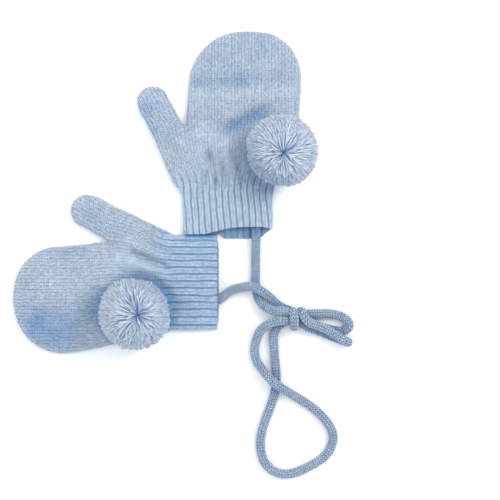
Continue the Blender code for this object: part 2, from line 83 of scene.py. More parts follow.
def makeStudio():
    bpy.ops.mesh.primitive_plane_add(size=studio["floorSize"], location=(0, 0, 0))
    floor = bpy.context.active_object
    floor.name = "floor"
    floor.data.materials.append(newMaterial("floorPaper", studio["floor"])[0])
    floor.select_set(False)
    world = bpy.data.worlds.new("studioSky")
    bpy.context.scene.world = world
    world.use_nodes = True
    for socket, value in studio["sky"].items():
        world.node_tree.nodes["Background"].inputs[socket].default_value = value
    for name, place, size, watts, colour in studio["lamps"]:
        data = bpy.data.lights.new(name, "AREA")
        data.shape, data.size, data.energy, data.color = "DISK", size, watts, colour
        lamp = addObject(name, data)
        lamp.location = place
        lamp.rotation_euler = (-Vector(place)).to_track_quat("-Z", "Y").to_euler()
    bpy.context.scene.view_settings.view_transform = "Standard"
    print("floor,", len(studio["lamps"]), "lamps and camera")


nap = {"Specular IOR Level": 0.15, "Sheen Roughness": 0.5, "Sheen Tint": (0.85, 0.92, 1.0, 1.0)}
clothYarn = {
    "light": (0.536, 0.575, 0.642, 1.0),
    "cool": (0.462, 0.525, 0.615, 1.0),
    # painted shade: the colour of the stitches' hollows
    "darkToneAndShade": (0.060, 0.145, 0.29, 1.0),
    "hollow": (0.34, 0.58, 0.83, 1.0),  # what a fully shaded spot is multiplied by
    "paintedBlueShade": (0.33, 0.65, 0.92, 1.0),  # a bluer painted shade, in the grooves, inside, and beside the pompom
    "paintedLightTint": (1.14, 1.28, 1.34, 1.0),  # and a spot with painted light, on ridges and on the cuff's ribs
    "pits": (-0.16, 0.58),  # stitch heights over which the painted shade of the hollows gives way to the yarn's colour
    "courseShare": 0.76,  # how much a stitch's own hollow shows in its bump and its painted shade, next to the lines between wales
    "stitchMottle": 0.30,
    "cloudMottle": 0.08,
    "fibreMottle": 1.2,
    "mottleByChannel": (1.0, 0.88, 0.76),  # what is darker is also a little bluer
    "cloud": (60.0, 3.0, 0.6),  # scale, detail and roughness of each noise
    "fibre": (880.0, 2.0, 0.6),
    "hue": (420.0, 2.0, 0.5),
    "hueContrast": (3.0, -1.6),
    "surface": {**nap, "Roughness": 0.92, "Sheen Weight": 0.2},
    "bump": 0.9,
    "fibreBump": 0.6,
    "bumpDepth": 0.0004,
}
cordYarn = dict(
    # the cord's own colours, with darker painted shade in its hollows and no painted light
    clothYarn, light=(0.495, 0.570, 0.648, 1.0), cool=(0.335, 0.443, 0.570, 1.0),
    darkToneAndShade=(0.025, 0.07, 0.19, 1.0), pits=(0.10, 0.56), paintedLightTint=(1.0, 1.0, 1.0, 1.0),
    courseShare=0.8, stitchMottle=0.25, fibreMottle=0.9,
)
stitch = {
    "legSlope": 0.7,  # courses that a leg climbs from the middle of its wale to the edge
    "archDip": (0.55, 0.42),
    "lowest": 0.15,
}


class Nodes:
    # short ways to add the nodes of one material, and to join them
    def __init__(self, tree):
        self.tree = tree

    def join(self, value, socket):
        if isinstance(value, bpy.types.NodeSocket):
            self.tree.links.new(value, socket)
        else:
            socket.default_value = value

    def add(self, kind, settings=(), out=0, **values):
        node = self.tree.nodes.new("ShaderNode" + kind)
        for key, value in dict(settings).items():
            setattr(node, key, value)
        for key, value in values.items():
            self.join(value, node.inputs[key])
        return node.outputs[out]

    def maths(self, operation, *values):
        node = self.tree.nodes.new("ShaderNodeMath")
        node.operation = operation
        for value, socket in zip(values, node.inputs):
            self.join(value, socket)
        return node.outputs[0]

    def mix(self, share, first, second, blend="MIX"):
        node = self.tree.nodes.new("ShaderNodeMix")
        node.data_type, node.blend_type = "RGBA", blend
        for value, index in ((share, 0), (first, 6), (second, 7)):
            self.join(value, node.inputs[index])
        return node.outputs[2]

    def noise(self, scale, detail, roughness):
        spot = self.add("TexCoord", out="Object")
        return self.add("TexNoise", Vector=spot, Scale=scale, Detail=detail, Roughness=roughness)


def newMaterial(name, values):
    material = bpy.data.materials.new(name)
    material.use_nodes = True
    surface = material.node_tree.nodes["Principled BSDF"].inputs
    for socket, value in values.items():
        surface[socket].default_value = value
    return material, surface, Nodes(material.node_tree)


def shaded(nodes, colour, yarn):
    # painted shade and light: deeper where "shade" is above nothing, painted lighter where it is below, and
    # bluer where the blue painted shade is
    shade, paintedBlueShade = (nodes.add("Attribute", {"attribute_name": name}, "Fac") for name in ("shade", "paintedBlueShade"))
    above = nodes.maths("MAXIMUM", shade, 0.0)
    below = nodes.maths("MAXIMUM", nodes.maths("MULTIPLY", shade, -1.0), 0.0)
    for share, tint in ((paintedBlueShade, yarn["paintedBlueShade"]), (above, yarn["hollow"]), (below, yarn["paintedLightTint"])):
        colour = nodes.mix(1.0, colour, nodes.mix(share, (1.0, 1.0, 1.0, 1.0), tint), "MULTIPLY")
    return colour


def stitchPattern(wale, course):
    across = np.abs(2 * (wale - np.floor(wale)) - 1)
    arch = 1 - (2 * across - 1) ** 2 * (stitch["archDip"][1] + stitch["archDip"][0] * across)
    ridge = 0.5 + 0.5 * np.cos(2 * pi * (course - stitch["legSlope"] * across))
    return arch * (stitch["lowest"] + (1 - stitch["lowest"]) * ridge)


def knitMaterial(name, yarn):
    # the same stitches as stitchPattern, drawn from the stitches' own UV map, with painted shade in their
    # hollows
    material, surface, nodes = newMaterial(name, yarn["surface"])
    maths = nodes.maths
    place = nodes.add("UVMap", {"uv_map": "stitches"})
    wale, course = (nodes.add("SeparateXYZ", out=axis, Vector=place) for axis in "XY")
    across = maths("ABSOLUTE", maths("MULTIPLY_ADD", maths("FRACT", wale), 2.0, -1.0))
    bow = maths("POWER", maths("ABSOLUTE", maths("MULTIPLY_ADD", across, 2.0, -1.0)), 2.0)
    dip = maths("MULTIPLY", bow, maths("MULTIPLY_ADD", across, *stitch["archDip"]))
    phase = maths("SUBTRACT", course, maths("MULTIPLY", across, stitch["legSlope"]))
    ridge = maths("MULTIPLY_ADD", maths("COSINE", maths("MULTIPLY", phase, 2 * pi)), 0.5, 0.5)
    ridge = maths("MULTIPLY_ADD", ridge, yarn["courseShare"], 1 - yarn["courseShare"])
    loops = maths("MULTIPLY", maths("SUBTRACT", 1.0, dip), ridge)

    # each stitch has its own tone, and the yarn is a little uneven along its length
    leg = maths("FLOOR", maths("MULTIPLY", wale, 2.0))
    cell = nodes.add("CombineXYZ", X=leg, Y=maths("FLOOR", phase))
    own = nodes.add("TexWhiteNoise", {"noise_dimensions": "2D"}, Vector=cell)
    cloud, fibre, hue = (nodes.noise(*yarn[kind]) for kind in ("cloud", "fibre", "hue"))
    hue = maths("MULTIPLY_ADD", maths("ADD", hue, maths("MULTIPLY", cloud, 0.4)), *yarn["hueContrast"])
    flat = nodes.mix(maths("MINIMUM", maths("MAXIMUM", hue, 0.0), 1.0), yarn["cool"], yarn["light"])
    # painted shade: the stitches' hollows go over to a dark colour
    low, high = yarn["pits"]
    depth = nodes.add("MapRange", {"interpolation_type": "SMOOTHSTEP"}, Value=loops,
                      **{"From Min": low, "From Max": high})
    colour = nodes.mix(depth, yarn["darkToneAndShade"], flat)
    tone = maths("MULTIPLY_ADD", own, yarn["stitchMottle"], 1 - 0.5 * yarn["stitchMottle"])
    for noise, amount in ((cloud, yarn["cloudMottle"]), (fibre, yarn["fibreMottle"])):
        tone = maths("ADD", tone, maths("MULTIPLY_ADD", noise, amount, -0.5 * amount))
    red, green, blue = (maths("MULTIPLY_ADD", tone, share, 1 - share) for share in yarn["mottleByChannel"])
    mottle = nodes.add("CombineColor", Red=red, Green=green, Blue=blue)
    colour = nodes.mix(1.0, colour, mottle, "MULTIPLY")
    nodes.join(shaded(nodes, colour, yarn), surface["Base Color"])

    height = maths("MULTIPLY_ADD", fibre, yarn["fibreBump"], loops)
    bump = nodes.add("Bump", Height=height, Strength=yarn["bump"], Distance=yarn["bumpDepth"])
    nodes.join(bump, surface["Normal"])
    return material


def meshObject(name, points, faces, material, uv=None, normals=None):
    # uv has a row for each corner of each face
    mesh = bpy.data.meshes.new(name)
    mesh.from_pydata((points * mm).tolist(), [], faces)
    mesh.polygons.foreach_set("use_smooth", np.ones(len(faces), bool))
    if uv is not None:
        mesh.uv_layers.new(name="stitches").data.foreach_set("uv", uv.astype(np.float32).ravel())
    mesh.materials.append(material)
    mesh.validate()
    if normals is not None:
        mesh.normals_split_custom_set_from_vertices(normals.tolist())
    mesh.update()
    return addObject(name, mesh)


def paint(piece, name, values):
    layer = piece.data.attributes.new(name, "FLOAT", "POINT")
    layer.data.foreach_set("value", np.asarray(values, np.float32))


def register(piece, slot, *nodes):
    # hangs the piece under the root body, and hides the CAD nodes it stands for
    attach(piece, "root")
    if nodes:
        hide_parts(*nodes)
    print(piece.name, len(piece.data.polygons), "faces")


def unit(vectors):
    return vectors / np.maximum(np.linalg.norm(vectors, axis=1), 1e-12)[:, None]


fuzz = {
    "onMitten": 8000,
    "onCord": 4000,
    "length": (0.7, 2.3),
    "radius": 0.055,
    "thinner": 0.8,  # at the bend
    "lean": 0.54,
    "curl": 0.54,
    "sunk": 0.15,  # how far a fibre's root is inside the yarn
    "light": (0.62, 0.68, 0.77, 1.0),
    "cool": (0.45, 0.54, 0.67, 1.0),
    "patches": (700.0, 1.0, 0.5),
    "contrast": (2.0, -0.5),
}


def fuzzMaterial(name, yarn):
    material, surface, nodes = newMaterial(name, yarn["surface"])
    share = nodes.maths("MULTIPLY_ADD", nodes.noise(*fuzz["patches"]), *fuzz["contrast"])
    colour = nodes.mix(share, fuzz["cool"], fuzz["light"])
    # the fibres get the same painted shade and painted light as the cloth under them
    nodes.join(shaded(nodes, colour, yarn), surface["Base Color"])
    return material


def makeFuzz(name, roots, normals, tones, count, seed, material, slot):
    # loose fibres that stand off the yarn, as one mesh of thin spikes with a bend in each
    rng = np.random.default_rng(seed)
    chosen = rng.integers(0, len(roots), count)
    roots, normals = roots[chosen], normals[chosen]
    first = unit(normals + fuzz["lean"] * rng.normal(0, 1, (count, 3)))
    second = unit(first + fuzz["curl"] * rng.normal(0, 1, (count, 3)))
    length = rng.uniform(*fuzz["length"], count)[:, None] / 2
    side = unit(np.cross(first, (0.36, 0.48, 0.80)))
    other = np.cross(first, side)
    start = roots - fuzz["sunk"] * normals
    middle = start + first * length
    corners = []
    for centre, radius in ((start, fuzz["radius"]), (middle, fuzz["thinner"] * fuzz["radius"])):
        for turn in 2 * pi * np.arange(3) / 3:
            corners.append(centre + radius * (cos(turn) * side + sin(turn) * other))
    points = np.stack(corners + [middle + second * length], axis=1)
    points[:, :, 2] = np.maximum(points[:, :, 2], cloth["lowest"])
    spike = [(2, 1, 0)]
    for k, after in ((0, 1), (1, 2), (2, 0)):
        spike += [(k, after, 3 + after, 3 + k), (3 + k, 3 + after, 6)]
    faces = [tuple(base + i for i in face) for base in range(0, 7 * count, 7) for face in spike]
    piece = meshObject(name, points.reshape(-1, 3), faces, material)
    for kind, values in tones.items():
        paint(piece, kind, np.repeat(values[chosen], 7))
    register(piece, slot)
    return piece


def smoothTable(rows, place):
    # a curve through a short table, with no overshoot
    knots, values = np.array(rows, float).T
    slopes = np.diff(values) / np.diff(knots)
    tangents = np.zeros(len(knots))
    sameWay = slopes[:-1] * slopes[1:] > 0
    sums = np.where(sameWay, slopes[:-1] + slopes[1:], 1.0)
    tangents[1:-1] = np.where(sameWay, 2 * slopes[:-1] * slopes[1:] / sums, 0.0)
    place = np.clip(np.asarray(place, float), knots[0], knots[-1])
    index = np.clip(np.searchsorted(knots, place, side="right") - 1, 0, len(knots) - 2)
    span = knots[index + 1] - knots[index]
    t = (place - knots[index]) / span
    start = (1 + 2 * t) * (1 - t) ** 2 * values[index] + t * (1 - t) ** 2 * span * tangents[index]
    end = t * t * (3 - 2 * t) * values[index + 1] + t * t * (t - 1) * span * tangents[index + 1]
    return start + end


def easeInOut(t):
    t = np.clip(t, 0, 1)
    return t * t * (3 - 2 * t)


def reachOf(line):
    # how far along a line each of its points is
    return np.concatenate(([0], np.cumsum(np.linalg.norm(np.diff(line, axis=0), axis=1))))


def resampled(line, reach, places):
    return np.column_stack([np.interp(places, reach, column) for column in line.T])


# in each mitten's own plane, "across" grows away from the thumb and "along" from the mouth to the tip
cloth = {
    "cuffLength": 27.0,
    "wall": 1.8,
    "edgeRadius": 3.2,
    "puffSpread": 7.0,
    "cuffPuff": 2.6,
    "handPuff": 4.2,
    "puffFullAt": 60.0,
    "cordBulge": 2.4,  # how far the cord lifts the cuff
    "cordBulgeWidth": 5.5,
    "cordBulgeFades": (1.3, 22.0),
    "columnsPerWale": 6,
    "courseHeight": 1.6,
    "rowsPerCourse": 4,
    "edgeMargin": 0.12,
    "frontInset": 0.35,  # where the front layer's grid ends and the rolled edge starts
    "rollAngles": (18, 9, 0, -9, -18, -27, -36, -46, -57, -70),
    "liningAngles": (10, -20, -50),
    "rollWale": 1.333,
    "hemRound": ((0.2, 0.55), (0.5, 0.75), (0.8, 0.55)),  # share of the way in, and reach past the hem
    "stitchDepth": 0.40,
    "stitchUneven": (0.75, 1.15),
    "liningDepth": 0.4,
    "ribDepth": 0.9,
    "ribCrown": 0.2,
    "ribWales": (0, 0.4, 0.8, 1.0),  # where the wales of a rib start
    "ribFadeFrom": 23.0,
    "ribFadeOver": 24.0,
    "ribUneven": (9.0, 2.4),  # how unlike the ribs fade, and the turn from one to the next
    "ribsOpenOver": 24.0,
    "divideBend": 1.6,
    "thumbCourses": (1.5, 5.0, 36.0, 18.0),  # start, and wales and rows over which courses turn
    "waves": (0.10, 9.0),  # height and size of the slow unevenness
    "waveSizes": (0.7, 1.4),
    "octaves": (1.8, 1.7),  # how much finer and lower each set of waves is
    "wander": (0.38, 17.0),  # the same sideways, near the cuff
    "wanderFades": (26.0, 22.0),
    # painted shade in the folds' troughs and painted light on their ridges, and how far it spreads
    "foldShadeAndLight": 0.040,
    "foldShadeAndLightSpread": 1.25,
    "foldsFromEdge": 5.0,
    "sink": (23.0, 3.2, -1.3, 0.5),  # beside the pompom: reach, width, height and fade
    "thumbCut": 1.2,  # above the crotch, where the thumb piece starts
    "lowest": 0.02,
}
paintedRecessShade = {  # painted shade: how much deeper and bluer the hollows are painted
    "ringFrom": 21.0,
    "ringShares": (0.4, 0.6),  # of the painted shade round the pompom, as plain and as bluer painted shade
    "folds": (-0.5, 0.8),
    "groove": (0.833, 0.09, 0.25, 0.85),  # place in the rib, width, and painted shade and bluer painted shade in the groove
    "cuffFades": (28.0, 20.0),
    "contact": (1.1, 0.9),  # width and amount of bluer painted shadow where the other hem lies on it
    # bluer painted shadow along the hem where it lies on the other cuff
    "hem": 1.3,
    "inside": (0.85, 0.2, 0.83),  # bluer painted shade inside: level, swing between ribs, deepest place in the rib
    # more bluer painted shade inside, beside the cord: width and amount
    "byCord": (3.5, 0.45),
    "most": 1.35,
}

upperMitten = {
    "name": "upper",
    "mirror": 1,
    "turn": 0.0,
    "mouth": (40.5, -27.6),
    "ribPitch": 4.0,
    "ribShift": 0.0,
    "cuffPaintedLight": 0.5,  # painted light: how much brighter the ribs are painted
    # painted shade: how much bluer the whole cuff is painted
    "cuffPaintedShade": 0.0,
    "ribLean": -1.9,
    "ribStretch": 0.0,
    "divideWale": -11.4,  # the wale that ends up at the crotch
    "straightFrom": 77.0,  # from here on the wales run straight to the tip
    "crotch": (-26.2, 69.6),
    "outer": (  # along, across: the outer edge from the cuff up the thumb
        (-10.0, -28.5), (23.0, -28.5), (25.5, -28.9), (28.0, -30.4), (31.6, -33.5), (36.0, -36.0),
        (40.5, -38.1), (50.2, -42.2), (62.7, -47.5), (70.7, -51.5), (80.6, -56.4),
    ),
    "right": (
        (-10.0, 28.5), (23.5, 28.5), (27.5, 28.8), (31.5, 30.2), (38.5, 33.6), (45.0, 36.5), (51.0, 38.7),
        (57.5, 40.9), (65.0, 43.0), (73.0, 45.0), (81.0, 45.4), (88.5, 46.0), (98.6, 46.3),
    ),
    "palmLeft": ((69.6, -26.2), (75.0, -26.4), (81.0, -25.9), (88.5, -25.3), (98.6, -24.5)),
    "thumbRight": ((69.6, -26.2), (71.8, -29.0), (75.0, -31.2), (79.6, -33.6), (84.5, -36.2), (89.4, -38.8)),
    "thumbTip": (-47.6, 85.0),
    "thumbRadius": 9.8,
    "thumbLean": (-0.444, 0.896),
    "tipAlong": 129.6,
    "wideAlong": 98.6,
    "halfWidth": 35.4,
    "tipPowers": (2.5, 1.8),
    "wideCentre": 10.9,
    "tipCentre": 13.3,
    "frontHem": ((-28.5, 1.0), (-15.0, 1.2), (-9.0, 2.6), (0.0, 4.8), (10.0, 5.7), (20.0, 5.9), (28.5, 4.6)),
    "backHem": ((-28.5, 1.0), (-5.4, 1.0), (-1.5, -1.5), (19.0, -1.5), (28.5, 4.6)),
    "darkHemTo": -9.0,  # the hem's stretch that lies on the other cuff, painted bluer as the shadow under it
    "ring": (0.12, 0.56, 246.0, 16.0),  # shade round the pompom: level, swing, its deepest side, reach
    "sinkTurns": (205.0, 262.0),
    "cordAcross": 17.8,
    "creases": (  # points across and along, half width, height, share of the ends that fades
        (((-15.5, 27.0), (-14.0, 38.0), (-12.0, 52.0)), 1.6, -2.6, 0.6),
        (((-6.0, 27.0), (-8.5, 37.0), (-13.0, 57.0)), 1.7, -2.9, 0.5),
        (((-1.5, 29.0), (-2.0, 38.0), (-4.5, 50.0)), 1.6, -2.6, 0.6),
        (((8.6, 30.0), (8.0, 40.0), (6.0, 51.0)), 1.6, -1.6, 0.6),
        (((-11.0, 34.0), (-12.0, 52.0)), 12.0, 0.5, 1.0),
        (((-20.5, 29.0), (-20.0, 38.0), (-18.0, 47.0)), 1.4, -1.2, 0.7),
        (((-18.5, 26.0), (-17.5, 38.0), (-17.0, 58.0)), 2.6, 1.5, 0.5),
        (((-10.5, 28.0), (-11.0, 38.0), (-15.0, 54.0)), 2.0, 1.5, 0.5),
        (((3.0, 28.0), (3.0, 38.0), (-2.0, 60.0)), 2.6, 1.5, 0.5),
        (((-24.0, 97.5), (-6.0, 96.0), (14.0, 98.0)), 4.4, -1.7, 0.3),
        (((2.0, 98.5), (24.0, 99.0), (45.0, 100.0)), 4.2, -0.9, 0.4),
        (((-24.0, 88.5), (5.0, 87.5), (44.0, 89.0)), 4.2, 1.5, 0.2),
        (((-20.0, 107.0), (-6.0, 107.5), (10.0, 105.0)), 4.5, -0.7, 0.5),
        (((18.0, 124.0), (28.0, 118.0), (38.0, 104.0)), 4.5, -0.8, 0.5),
        (((-7.0, 65.5), (2.5, 67.8), (12.5, 73.3), (22.0, 77.0), (29.0, 78.0)), 4.6, -3.3, 0.65),
        (((-24.0, 75.0), (-14.0, 76.0), (-4.0, 73.0)), 4.5, -0.8, 0.5),
        (((-22.0, 65.0), (-10.0, 61.5), (4.0, 59.0)), 4.6, 1.6, 0.4),
        (((-14.0, 114.0), (10.0, 119.0), (30.0, 112.0)), 8.0, -0.5, 0.6),
        (((-33.0, 40.0), (-31.0, 58.0)), 4.0, -0.7, 0.6),
        (((-24.0, 66.0), (-28.0, 74.0)), 1.6, -1.6, 0.5),
        (((-42.0, 54.0), (-37.0, 64.0), (-33.0, 74.0)), 7.0, -0.8, 0.6),
        (((-52.0, 76.0), (-46.0, 88.0)), 7.0, -0.8, 0.6),
        (((-55.0, 82.0), (-47.0, 62.0)), 4.0, -1.3, 0.5),
    ),
    "pompom": (33.4, 52.1),
    "star": (1.2, -2.4),
    # painted shade on the pompom's pressed side
    "pressedPaintedShade": 0.25,
    "seed": 5,
}
lowerMitten = {
    "name": "lower",
    "mirror": -1,
    "turn": 90.0,
    "mouth": (34.2, -57.3),
    "ribPitch": 4.3,
    "ribShift": 1.25,
    # painted light on the ribs and bluer painted shade over the cuff
    "cuffPaintedLight": 0.42,
    "cuffPaintedShade": 0.22,
    "ribLean": 0.0,
    "ribStretch": 0.0035,
    "divideWale": -11.6,
    "straightFrom": 77.0,
    "crotch": (-25.4, 69.6),
    "outer": (
        (-10.0, -30.2), (24.0, -30.2), (28.5, -30.8), (34.3, -33.6), (45.0, -38.6), (55.7, -43.9),
        (66.6, -48.6), (78.3, -54.5),
    ),
    "right": (
        (-10.0, 30.4), (27.5, 30.4), (32.5, 31.2), (38.0, 32.8), (43.0, 34.4), (48.0, 35.6), (58.0, 37.8),
        (68.0, 39.8), (76.0, 41.8), (84.0, 43.1), (91.5, 44.4), (98.9, 45.0),
    ),
    "palmLeft": ((69.6, -25.4), (76.0, -25.3), (84.0, -24.1), (91.5, -23.5), (98.9, -22.8)),
    "thumbRight": ((69.6, -25.4), (72.6, -28.0), (76.1, -29.9), (82.0, -33.1), (87.9, -36.1)),
    "thumbTip": (-45.3, 83.1),
    "thumbRadius": 10.4,
    "thumbLean": (-0.457, 0.889),
    "tipAlong": 130.0,
    "wideAlong": 98.9,
    "halfWidth": 33.9,
    "tipPowers": (2.15, 2.1),
    "wideCentre": 11.1,
    "tipCentre": 10.1,
    "frontHem": ((-30.2, 1.0), (0.0, 1.0), (30.4, 1.0)),
    "backHem": ((-30.2, 1.0), (-20.0, 0.0), (20.0, 0.0), (30.4, 1.0)),
    "darkHemTo": -90.0,
    "contact": (-29.2, 3.0, 21.0),  # across, and from where to where the other hem lies on it and casts painted shadow
    "ring": (0.95, 0.1, 120.0, 8.5),
    "sinkTurns": (158.0, 268.0),
    "cordAcross": 12.0,
    "creases": (
        (((-20.0, 56.0), (-16.0, 47.0), (-9.0, 30.0)), 1.9, -3.2, 0.4),
        (((-24.0, 43.0), (-21.0, 36.0), (-18.5, 28.0)), 1.7, -1.7, 0.5),
        (((-25.5, 58.0), (-21.5, 47.0), (-14.0, 31.0)), 2.4, 1.9, 0.4),
        (((-14.0, 66.0), (-9.0, 46.0), (-2.5, 30.0)), 3.4, 2.4, 0.4),
        (((-25.0, 70.0), (-21.0, 63.5)), 1.5, -1.2, 0.5),
        (((2.0, 28.0), (3.0, 38.0)), 2.4, -0.9, 0.5),
        (((11.0, 123.0), (25.0, 115.0), (33.0, 98.0), (38.0, 79.0)), 9.5, -1.25, 0.9),
        (((20.0, 120.0), (27.0, 110.0)), 7.0, -0.7, 1.0),
        (((28.0, 80.0), (14.0, 79.0), (2.0, 73.0)), 5.0, -1.7, 0.5),
        (((-17.0, 110.0), (-19.0, 96.0), (-19.5, 80.0)), 4.5, -1.2, 0.5),
        (((8.0, 108.0), (17.0, 97.0), (25.0, 82.0)), 10.0, -0.55, 1.0),
        (((27.0, 121.0), (36.0, 111.0), (42.0, 98.0)), 5.0, -1.0, 0.5),
        (((-13.0, 70.0), (-5.0, 50.0)), 9.0, 1.0, 0.8),
        (((-6.0, 124.0), (4.0, 124.0)), 4.0, -0.8, 0.6),
        (((-6.0, 108.0), (6.0, 98.0), (12.0, 90.0)), 7.0, 0.6, 0.4),
        (((-50.0, 87.0), (-42.0, 74.0)), 6.5, -0.8, 0.6),
        (((-44.0, 80.0), (-40.0, 72.0), (-30.0, 52.0)), 7.0, -0.5, 0.6),
    ),
    "pompom": (18.7, 51.0),
    "star": (3.2, -0.5),
    "pressedPaintedShade": 0.15,
    "seed": 9,
}


branches = {"whole": ("outer", "right"), "thumb": ("outer", "thumbRight"), "palm": ("palmLeft", "right")}
pieceOfEdge = {"cuffLeft": "cuff", "gusset": "hand", "thumb": "thumb", "crotch": "hand", "palm": "hand",
               "cuffRight": "cuff"}
pieceTags = {
    "cuff": ("cuff", "cuffTop"),
    "hand": ("hand", "handBase", "handThumb"),
    "thumb": ("thumb", "thumbBase"),
}


def edgeAt(mitten, side, along, inset):
    # across of one edge, moved in by inset: "outer" and "thumbRight" turn into the thumb's round tip
    sign = 1 if side in ("outer", "palmLeft") else -1
    if side in ("outer", "thumbRight"):
        tipAcross, tipAlong = mitten["thumbTip"]
        radius = mitten["thumbRadius"] - inset
        if along > tipAlong + sign * radius * mitten["thumbLean"][0]:
            return tipAcross - sign * sqrt(max(radius**2 - (along - tipAlong) ** 2, 0))
    elif along > mitten["wideAlong"]:
        reach = mitten["tipAlong"] - inset - mitten["wideAlong"]
        share = min((along - mitten["wideAlong"]) / reach, 1.0)
        power, alongPower = mitten["tipPowers"]
        half = (mitten["halfWidth"] - inset) * (1 - share**alongPower) ** (1 / power)
        return mitten["wideCentre"] + (mitten["tipCentre"] - mitten["wideCentre"]) * share - sign * half
    edge = float(smoothTable(mitten[side], along))
    slope = float(smoothTable(mitten[side], along + 0.5) - smoothTable(mitten[side], along - 0.5))
    return edge + sign * inset * sqrt(1 + slope * slope)


def cuffAcross(mitten, wale):
    # two wide wales and one hidden in the groove make a rib
    rib = np.floor(wale / 3)
    offset = np.interp(wale - 3 * rib, (0, 1, 2, 3), cloth["ribWales"])
    flat = (rib + offset - cloth["ribWales"][1]) * mitten["ribPitch"] + mitten["ribShift"]
    return flat + mitten["ribStretch"] * flat * np.abs(flat) * 0.5 + mitten["ribStretch"] * flat**2 * 0.5


def edgeWales(mitten):
    # the wales at the cuff's two edges
    wales = np.linspace(-30, 32, 1241)
    edges = (mitten["outer"][0][1], mitten["right"][0][1])
    return np.interp(edges, cuffAcross(mitten, wales), wales)


def divideAt(mitten, along):
    # the line on which the thumb's wales part from the palm's
    start = float(cuffAcross(mitten, mitten["divideWale"]))
    end, crotch = mitten["crotch"]
    t = np.clip((along - cloth["cuffLength"]) / (crotch - cloth["cuffLength"]), 0, 1)
    return start + (end - start) * (1 - (1 - t) ** cloth["divideBend"])


def walePlaces(mitten, branch, row, wales):
    # across of each wale column on a row, running on past the edges
    top = cloth["cuffLength"]
    inCuff = cuffAcross(mitten, wales) + mitten["ribLean"] * np.clip(row / top, 0, 1)
    if row <= top:
        return inCuff
    at, slide = row, 0.0
    if branch == "thumb":
        lean, rise = mitten["thumbLean"]
        at = min(row, mitten["thumbTip"][1] + mitten["thumbRadius"] * lean - 1.0)
        slide = (row - at) * lean / rise
    elif branch == "palm":
        at = min(row, mitten["straightFrom"])
    left, right = (edgeAt(mitten, side, at, 0) for side in branches[branch])
    (first, last), divide = edgeWales(mitten), mitten["divideWale"]
    knots, places = {
        "whole": ((first, divide, last), (left, divideAt(mitten, at), right)),
        "thumb": ((first, divide), (left, right)),
        "palm": ((divide, last), (left, right)),
    }[branch]
    firstGap = (places[1] - places[0]) / (knots[1] - knots[0])
    lastGap = (places[-1] - places[-2]) / (knots[-1] - knots[-2])
    spread = np.interp(wales, knots, places)
    spread += np.minimum(wales - knots[0], 0) * firstGap + np.maximum(wales - knots[-1], 0) * lastGap
    opened = easeInOut((row - top) / cloth["ribsOpenOver"])
    return inCuff * (1 - opened) + (spread + slide) * opened


def evenRows(start, stop, step):
    return list(np.linspace(start, stop, max(int(round((stop - start) / step)), 1) + 1))


def refined(mitten, branch, rows, inset, longest=1.3):
    # more rows where an edge runs nearly across them, as at a round tip
    for _ in range(6):
        found = []
        for low, high in zip(rows, rows[1:]):
            found.append(low)
            jump = max(abs(edgeAt(mitten, side, high, inset) - edgeAt(mitten, side, low, inset))
                       for side in branches[branch])
            if jump > longest and high - low > 0.01:
                found.append((low + high) / 2)
        rows = found + [rows[-1]]
    return rows


class Cloth:
    # growing lists of points and faces for one mitten
    def __init__(self):
        self.points, self.faces, self.tags = [], [], []

    def add(self, across, along, height, wale, layer):
        self.points.append([across, along, height, wale, layer])
        return len(self.points) - 1

    def face(self, corners, piece):
        corners = [c for i, c in enumerate(corners) if c != corners[i - 1]]
        if len(corners) > 2:
            self.faces.append(tuple(corners))
            self.tags.append(piece)

    def spots(self, ids):
        return np.array([self.points[i][:3] for i in ids], float)


def rowOfPoints(cloths, mitten, branch, row, wales, inset, layer):
    # one row of the grid: straight columns, cut off at the edges
    places = walePlaces(mitten, branch, row, wales)
    left, right = (edgeAt(mitten, side, row, inset) for side in branches[branch])

    def edgePoint(across):
        return cloths.add(across, row, 0, float(np.interp(across, places, wales)), layer)

    if right - left < 0.05:
        tip = edgePoint((left + right) / 2)
        return np.full(len(wales), tip), [tip]
    first, margin = edgePoint(left), cloth["edgeMargin"]
    inside = np.flatnonzero((places > left + margin) & (places < right - margin))
    between = [cloths.add(places[j], row, 0, wales[j], layer) for j in inside]
    last = edgePoint(right)
    ids = np.where(places < (left + right) / 2, first, last)
    if between:
        ids[inside] = between
        ids[: inside[0]] = first
        ids[inside[-1] + 1:] = last
    return ids, [first, *between, last]


